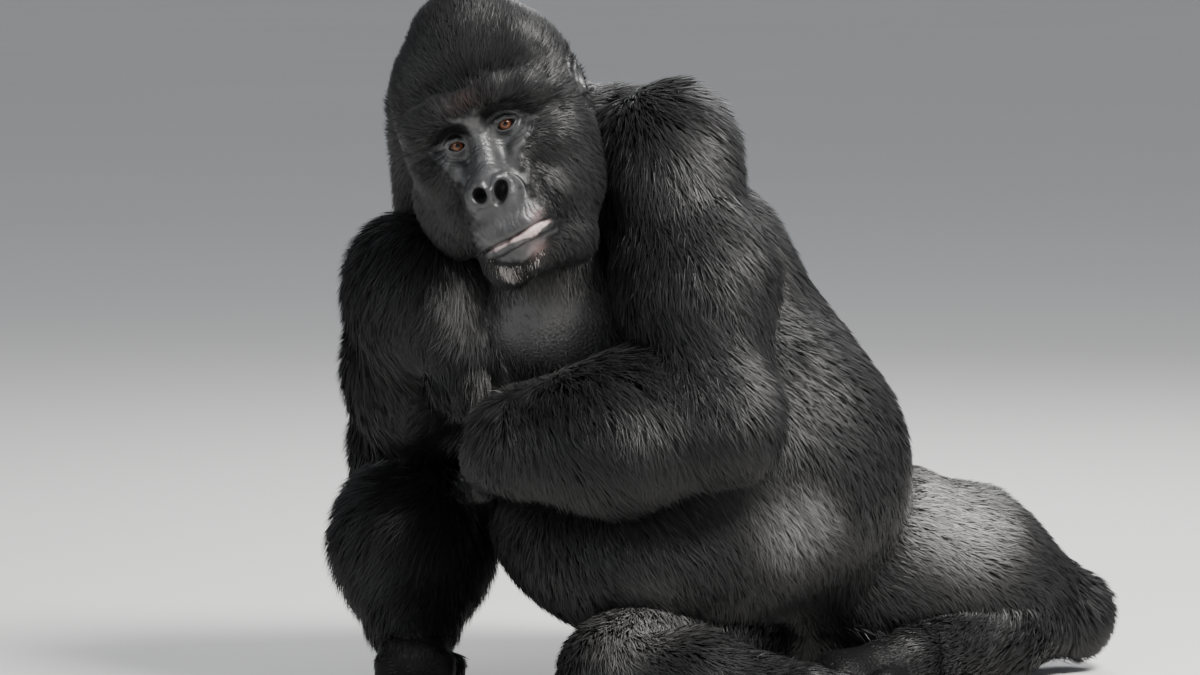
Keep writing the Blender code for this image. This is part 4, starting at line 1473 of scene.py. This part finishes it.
density = in_shares(lambda p: coats_at(p)[3], skin_points)
density *= 1 - np.clip(bare_share(skin_points, skin_normals) * 1.3 * (1 - 0.8 * shadow_under_brow), 0, 1)
density *= open_share(skin_points, skin_normals)
density *= 0.15 + 0.85 * smooth((skin_points[:, 2] - 0.004) / 0.010)
roots, root_normals = strewn(skin.data, skin_points, density, LOCKS)
root_normals = unit(root_normals)
print("locks:", len(roots))

# %% [markdown]
# ## Length and lie of each lock
# A lock takes its depth, length and width from the coat at its root. Its direction is the lie of the coat,
# turned a little by broad swirls and a little by chance, since combed hair looks like a wig. Round the face
# the hair gets shorter and shorter, down to a few millimetres at the edge, and the chin has a tuft.

# %% Length and lie of each lock
FACE_LENGTH, FACE_DEPTH, FACE_WIDTH = 0.0060, 0.0014, 0.0007  # of a lock at the edge of the face
BEARD = (-0.030, -0.140, -0.166), (0.022, 0.035, 0.022)  # middle and reach of the tuft on the chin
BEARD_LENGTH = 0.016  # how much longer its hair is


def swirl(points):
    """A broad, smooth turn of the lie, in radians."""
    x, y, z = points.T
    broad = 0.22 * np.sin(23 * x + 11 * z + 1.3) * np.sin(19 * y - 17 * z)
    return broad + 0.16 * np.sin(47 * z + 31 * x + 9 * y)


def turned(vectors, axes, angles):
    """Vectors turned about axes at right angles to them."""
    return vectors * np.cos(angles)[:, None] + np.cross(axes, vectors) * np.sin(angles)[:, None]


def lock_shapes(points, normals):
    """Depth, length, width, direction and piece for every lock."""
    depth, length, width, _, lie, piece = coats_at(points)
    own = to_head(points)
    near_face = near_head(own) * (1 - smooth((face_gap(own) + 0.008) / 0.042))
    length = length * (1 - near_face) + FACE_LENGTH * near_face
    depth = depth * (1 - near_face) + FACE_DEPTH * near_face
    width = width * (1 - near_face) + FACE_WIDTH * near_face
    near_ear = near_head(own) * smooth(1 - ear_gap(own) / 0.020)
    length, depth = length * (1 - 0.6 * near_ear), depth * (1 - 0.6 * near_ear)
    length = length + BEARD_LENGTH * blot(own, *BEARD)
    ahead = lie - normals * (lie * normals).sum(axis=1, keepdims=True)
    sure = smooth(2 * np.linalg.norm(ahead, axis=1) / np.linalg.norm(lie, axis=1))
    depth = depth * (0.3 + 0.7 * sure)  # where the lie points into the body, the locks are pressed flat
    ahead = unit(ahead)
    ahead = turned(ahead, normals, swirl(points) + 0.16 * chance.standard_normal(len(points)))
    return depth, length, width, ahead, piece


lock_depth, lock_length, lock_width, lock_ahead, lock_piece = lock_shapes(roots, root_normals)
print("middle length of a lock", round(float(np.median(lock_length)), 3))

# %% [markdown]
# ## Shape of a lock
# A lock leaves the skin at an angle, bends over and lies along the body, so its tip ends at the coat's depth.
# Neighbouring tips are drawn together, because hair gathers in points like a wet brush.
# A lock is shaded as if it leaned towards the skin's own slope, which is how a smooth coat catches the light.

# %% Locks
STATIONS = (0.0, 0.46)  # along a lock, before its tip
STATION_WIDTHS = (0.8, 1.0)
LEVEL = 0.6  # how far a lock's shading follows the skin
GATHER = 0.36  # how far tips are drawn together
POINT_SPACING = 16  # locks in one point
SUNK = 0.0015  # how far a root lies under the skin
FLOOR_GAP = 0.0012  # no lock comes nearer to the floor


def lock_points(points, normals, depth, length, width, ahead):
    """The corners of every lock's ribbon, and the normal it is shaded with."""
    count = len(points)
    length = length * (0.72 + 0.5 * chance.random(count))
    rise = np.minimum(depth * (0.55 + 0.75 * chance.random(count)), 0.75 * length)
    run = np.sqrt(length**2 - rise**2)
    side = np.cross(normals, ahead)
    bend = 0.13 * length * chance.standard_normal(count)
    tips = points + run[:, None] * ahead + rise[:, None] * normals + bend[:, None] * side
    middles = chance.choice(count, count // POINT_SPACING, replace=False)
    tree = kdtree.KDTree(len(middles))
    for index, middle in enumerate(middles):
        tree.insert(points[middle], index)
    tree.balance()
    nearest = middles[[tree.find(point)[1] for point in points]]
    pull = tips[nearest] - tips
    far = np.linalg.norm(pull, axis=1) / length
    pull *= (GATHER * (0.6 + 0.8 * chance.random(count)) * (1 - smooth((far - 0.7) / 0.8)))[:, None]
    stations = []
    for share in (*STATIONS, 1.0):
        lifted = rise * (1 - (1 - share) ** 1.8)
        at = points + (run * share)[:, None] * ahead + (lifted - SUNK)[:, None] * normals
        at += (bend * share**2)[:, None] * side + pull * share**1.5
        stations.append(at)
    roll = 0.55 * chance.standard_normal(count)
    across = turned(side, unit(stations[-1] - stations[0]), roll)
    width = width * (0.65 + 0.7 * chance.random(count))
    corners = []
    for at, wide in zip(stations, STATION_WIDTHS):
        corners += [at - across * (width * wide / 2)[:, None], at + across * (width * wide / 2)[:, None]]
    corners.append(stations[-1])
    corners = np.stack(corners, axis=1)
    corners[:, :, 2] = np.maximum(corners[:, :, 2], FLOOR_GAP)
    flat = np.cross(stations[-1] - stations[0], across)
    return corners, unit(LEVEL * normals + (1 - LEVEL) * unit(flat))


lock_shape = (lock_depth, lock_length, lock_width, lock_ahead)
lock_corners, lock_normals = lock_points(roots, root_normals, *lock_shape)
spans = np.linalg.norm(lock_corners[:, -1] - lock_corners[:, 0], axis=1)
print("longest lock", round(float(spans.max()), 3))

# %% [markdown]
# ## Colour of the hair
# Most of the coat is black, and no two locks are equally dark. Grey hairs are mixed in among the black ones,
# so each lock is either more grey or less, and a grey back is a crowd of light locks rather than a grey wash.
# The forehead over the brows is rusty with a painted shadow in its dent, and some hairs on the chin are white.

# %% Hair colours
BLACK_HAIR = np.array((0.0078, 0.0075, 0.0077))
GREY_HAIR = np.array((0.290, 0.283, 0.275))
RUSTY_HAIR = np.array((0.110, 0.050, 0.034))
WHITE_HAIR = np.array((0.50, 0.46, 0.44))
# painted shadow: middle and reach of the darkened hair in the dent of the forehead
FOREHEAD_SHADOW = (-0.002, -0.090, 0.084), (0.022, 0.040, 0.013)  # middle and reach, on the forehead
RUSTY_BROW = (0.006, -0.112, 0.050), (0.022, 0.030, 0.009)
WHITE_CHIN = (-0.034, -0.140, -0.162), (0.022, 0.035, 0.016)
PALE_CHIN = (0.014, -0.145, -0.160), (0.010, 0.030, 0.015)


def hair_colours(points):
    """Each lock's colour in its middle."""
    count = len(points)
    own = to_head(points)
    head_only = near_head(own)[:, None]
    grey = silver_share(points)
    grey = np.clip(grey * (0.35 + 1.1 * chance.random(count)), 0, 1)[:, None]
    colour = BLACK_HAIR * (0.7 + 0.6 * chance.random(count))[:, None]
    colour = colour + (GREY_HAIR - colour) * grey
    # painted shadow in the dent of the forehead
    colour = colour * (1 - 0.8 * blot(own, *FOREHEAD_SHADOW))[:, None]
    rust = 0.42 * blot(own, *RUSTY_BROW) * (0.2 + 0.9 * chance.random(count))
    colour = colour + (RUSTY_HAIR - colour) * np.clip(rust, 0, 1)[:, None] * head_only
    white = blot(own, *WHITE_CHIN) * 0.8
    pink = blot(own, *PALE_CHIN) * 0.4
    white = np.where(chance.random(count) < np.maximum(white, pink), 0.12 + 0.68 * chance.random(count), 0)
    return colour + (WHITE_HAIR - colour) * white[:, None] * head_only


lock_colours = hair_colours(roots)
print("grey locks:", int((lock_colours[:, 0] > 0.1).sum()))

# %% [markdown]
# ## The hair's finish
# Real hair shines along its length. A ribbon with the skin's own slope and a half rough surface gives the
# same broad gleam over a limb. Each lock's colour is stored in its corners, and a noise makes it uneven
# from place to place, so that the coat isn't one flat black.


# %% Hair material
def hair_material():
    made, nodes, links = new_material("hair")
    shader = nodes["Principled BSDF"]
    tint = add(nodes, "ShaderNodeAttribute", attribute_name="tint")
    place = add(nodes, "ShaderNodeTexCoord")
    streaks = add(nodes, "ShaderNodeTexNoise", Scale=55.0, Detail=4.0)
    links.new(place.outputs["Object"], streaks.inputs["Vector"])
    shade = add(nodes, "ShaderNodeMapRange")
    shade.inputs["To Min"].default_value, shade.inputs["To Max"].default_value = 0.7, 1.3
    links.new(streaks.outputs["Fac"], shade.inputs["Value"])
    shaded = add(nodes, "ShaderNodeVectorMath", operation="MULTIPLY")
    links.new(tint.outputs["Color"], shaded.inputs[0])
    links.new(shade.outputs["Result"], shaded.inputs[1])
    links.new(shaded.outputs["Vector"], shader.inputs["Base Color"])
    shader.inputs["Roughness"].default_value = 0.50
    shader.inputs["Specular IOR Level"].default_value = 0.34
    shader.inputs["Sheen Weight"].default_value = 0.04
    shader.inputs["Sheen Roughness"].default_value = 0.4
    return made


hair = hair_material()
print("hair material:", hair.name)

# %% [markdown]
# ## Maps of the coat
# Each piece of the coat needs a flat map for its colours. A lock is a tiny patch on it, at its root's
# place. The map is an unrolled tube round the part's own axis, so neighbouring locks stay neighbours on it,
# and a baked colour is never torn.

# %% Maps of the coat
AXES = {  # the line that each piece is unrolled from
    "coat_back": ((0.33, 0.10, 0.05), (-0.05, 0.02, 0.75)),
    "coat_belly": ((0.15, 0.02, 0.10), (0.02, 0.02, 0.70)),
    "coat_flank": ((0.15, 0.02, 0.10), (0.02, 0.02, 0.70)),
    "coat_nape": (head_point((0, 0.05, -0.20)), head_point((0, 0.05, 0.20))),
    "coat_cheeks": (head_point((0, 0, -0.20)), head_point((0, 0, 0.20))),
    "coat_crown": (head_point((0, 0, -0.20)), head_point((0, 0, 0.20))),
    "coat_face": (head_point((0, -0.02, -0.20)), head_point((0, -0.02, 0.20))),
    "coat_feet": ((0.35, -0.25, -0.10), (0.35, -0.25, 0.20)),
    "coat_forearm_left": (ELBOW_L, WRIST_L),
    "coat_forearm_right": (ELBOW_R, WRIST_R),
    "coat_legs": (HIP_R, KNEE_R),
    "coat_shoulders": ((-0.06, -0.02, 0.40), (-0.06, -0.02, 0.85)),
    "coat_thigh_left": (HIP_L, KNEE_L),
    "coat_upper_arm_left": (SHOULDER_L, ELBOW_L),
    "coat_upper_arm_right": (SHOULDER_R, ELBOW_R),
}


def unrolled(points, start, end):
    """Places on the map of a tube round the line from start to end."""
    axis = np.array((Vector(end) - Vector(start)).normalized())
    east = unit(np.cross(axis, (0.3, 1.0, 0.2))[None])[0]
    north = np.cross(axis, east)
    own = points - np.array(start)
    round_it = np.arctan2(own @ north, own @ east) / (2 * math.pi) + 0.5
    up = own @ axis
    up = (up - up.min()) / max(np.ptp(up), 1e-6)
    return np.stack([0.01 + 0.97 * round_it, 0.01 + 0.97 * up], axis=1)


print("axes:", len(AXES), "for pieces:", len(PIECES))

# %% [markdown]
# ## The coat's pieces
# The locks are shared out among pieces by the part of the body they grow on, so no mesh is too heavy to
# handle. Each lock is darkest at its root and lightest at its tip, as hair is when light reaches only its
# ends.

# %% Coat pieces
PATCH = 0.003  # the size of a lock on its map
LOCK_CORNERS = len(STATIONS) * 2 + 1
ROOT_TO_TIP = np.array([0.45, 0.45, 1.0, 1.0, 1.3])  # how light each of its corners is


def lock_loops(count):
    """The corners of every face: a quad and the tip's triangle for each lock."""
    pattern = np.array([0, 2, 3, 1, 2, 4, 3])
    loops = (np.arange(count)[:, None] * LOCK_CORNERS + pattern).ravel()
    return loops, np.tile([4, 3], count), np.tile(pattern, count)


def coat_piece(name, corners, normals, colours, places):
    """One mesh of locks, with their colours, their map and their shading."""
    count = len(corners)
    loops, sizes, pattern = lock_loops(count)
    made = mesh_object(name, corners.reshape(-1, 3) + np.array(SHIFT), loops, sizes)
    tint = np.ones((count, LOCK_CORNERS, 4), np.float32)
    tint[:, :, :3] = np.clip(colours[:, None, :] * ROOT_TO_TIP[None, :, None], 0, 0.9)
    made.data.attributes.new("tint", "FLOAT_COLOR", "POINT").data.foreach_set("color", tint.ravel())
    across = np.array([-0.5, 0.5, -0.5, 0.5, 0.0])[pattern] * PATCH
    up = np.array([0.0, 0.0, 0.5, 0.5, 1.0])[pattern] * PATCH
    places = np.repeat(places, len(pattern) // count, axis=0) + np.stack([across, up], axis=1)
    made.data.uv_layers.new(name="OFBake").data.foreach_set("uv", places.astype(np.float32).ravel())
    made.data.materials.append(hair)
    made.data.normals_split_custom_set_from_vertices(np.repeat(normals, LOCK_CORNERS, axis=0))
    return made


for index, name in enumerate(PIECES):
    mine = lock_piece == index
    places = unrolled(roots[mine], *AXES[name])
    made = coat_piece(name, lock_corners[mine], lock_normals[mine], lock_colours[mine], places)
    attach(made, "root")
    print(name, int(mine.sum()), "locks", int(mine.sum()) * 3, "triangles")

# %% [markdown]
# ## The floor
# The floor is a pale disc so wide that its far edge lies outside the camera's view. The lamps stand close
# to the animal, so the floor fades with distance and makes the backdrop too, and no corner or seam shows.

# %% The floor
FLOOR_RADIUS = 250.0


def wide_floor():
    shape = bmesh.new()
    bmesh.ops.create_circle(shape, cap_ends=True, radius=FLOOR_RADIUS, segments=64)
    mesh = bpy.data.meshes.new("studio_floor")
    shape.to_mesh(mesh)
    shape.free()
    made = bpy.data.objects.new("studio_floor", mesh)
    bpy.context.scene.collection.objects.link(made)
    paint, nodes, links = new_material("pale_floor")
    place = add(nodes, "ShaderNodeTexCoord")
    cloud = add(nodes, "ShaderNodeTexNoise", Scale=0.3, Detail=2.0)
    tone = ramp(nodes, [(0.3, (0.645, 0.635, 0.625)), (0.7, (0.665, 0.655, 0.645))])
    links.new(place.outputs["Object"], cloud.inputs["Vector"])
    links.new(cloud.outputs["Fac"], tone.inputs["Fac"])
    links.new(tone.outputs["Color"], nodes["Principled BSDF"].inputs["Base Color"])
    nodes["Principled BSDF"].inputs["Roughness"].default_value = 0.75
    made.data.materials.append(paint)
    return made


wide_floor()
print("floor radius", FLOOR_RADIUS)

# %% [markdown]
# ## Lights and camera
# Light falls mostly from above, as in a clearing in a forest: a broad lamp over the animal's left shoulder,
# a weaker one from its right, and one from behind that draws a rim on the coat. A black coat needs broad
# lamps, because it shows little but their reflections. The camera is far away and has a long lens, like a
# naturalist's.


# %% Lights and camera
def lamp(name, place, size, power, target, colour=(1, 1, 1)):
    light = bpy.data.lights.new(name, "AREA")
    light.size, light.energy, light.color = size, power, colour
    made = bpy.data.objects.new(name, light)
    bpy.context.scene.collection.objects.link(made)
    made.location = place
    made.rotation_euler = (Vector(target) - Vector(place)).to_track_quat("-Z", "Y").to_euler()


lamp("key", (2.1, -2.1, 4.2), 1.5, 640, (0, 0, 0.6), (1.0, 0.985, 0.96))
lamp("fill", (-3.2, -3.0, 2.2), 2.8, 55, (0, 0, 0.5), (0.95, 0.98, 1.0))
lamp("rim", (0.8, 2.8, 3.2), 1.8, 120, (0, 0, 0.7))

sky = bpy.data.worlds.new("sky")
bpy.context.scene.world = sky
sky.use_nodes = True
sky.node_tree.nodes["Background"].inputs["Color"].default_value = (0.90, 0.94, 1.0, 1)
sky.node_tree.nodes["Background"].inputs["Strength"].default_value = 0.42

camera = bpy.data.objects.new("camera", bpy.data.cameras.new("camera"))
bpy.context.scene.collection.objects.link(camera)
camera.data.lens, camera.data.sensor_width = 147, 36
camera.location = CAMERA_PLACE
camera.rotation_euler = (math.radians(85), 0, 0)
bpy.context.scene.camera = camera
print("camera at", [round(v, 3) for v in camera.location])
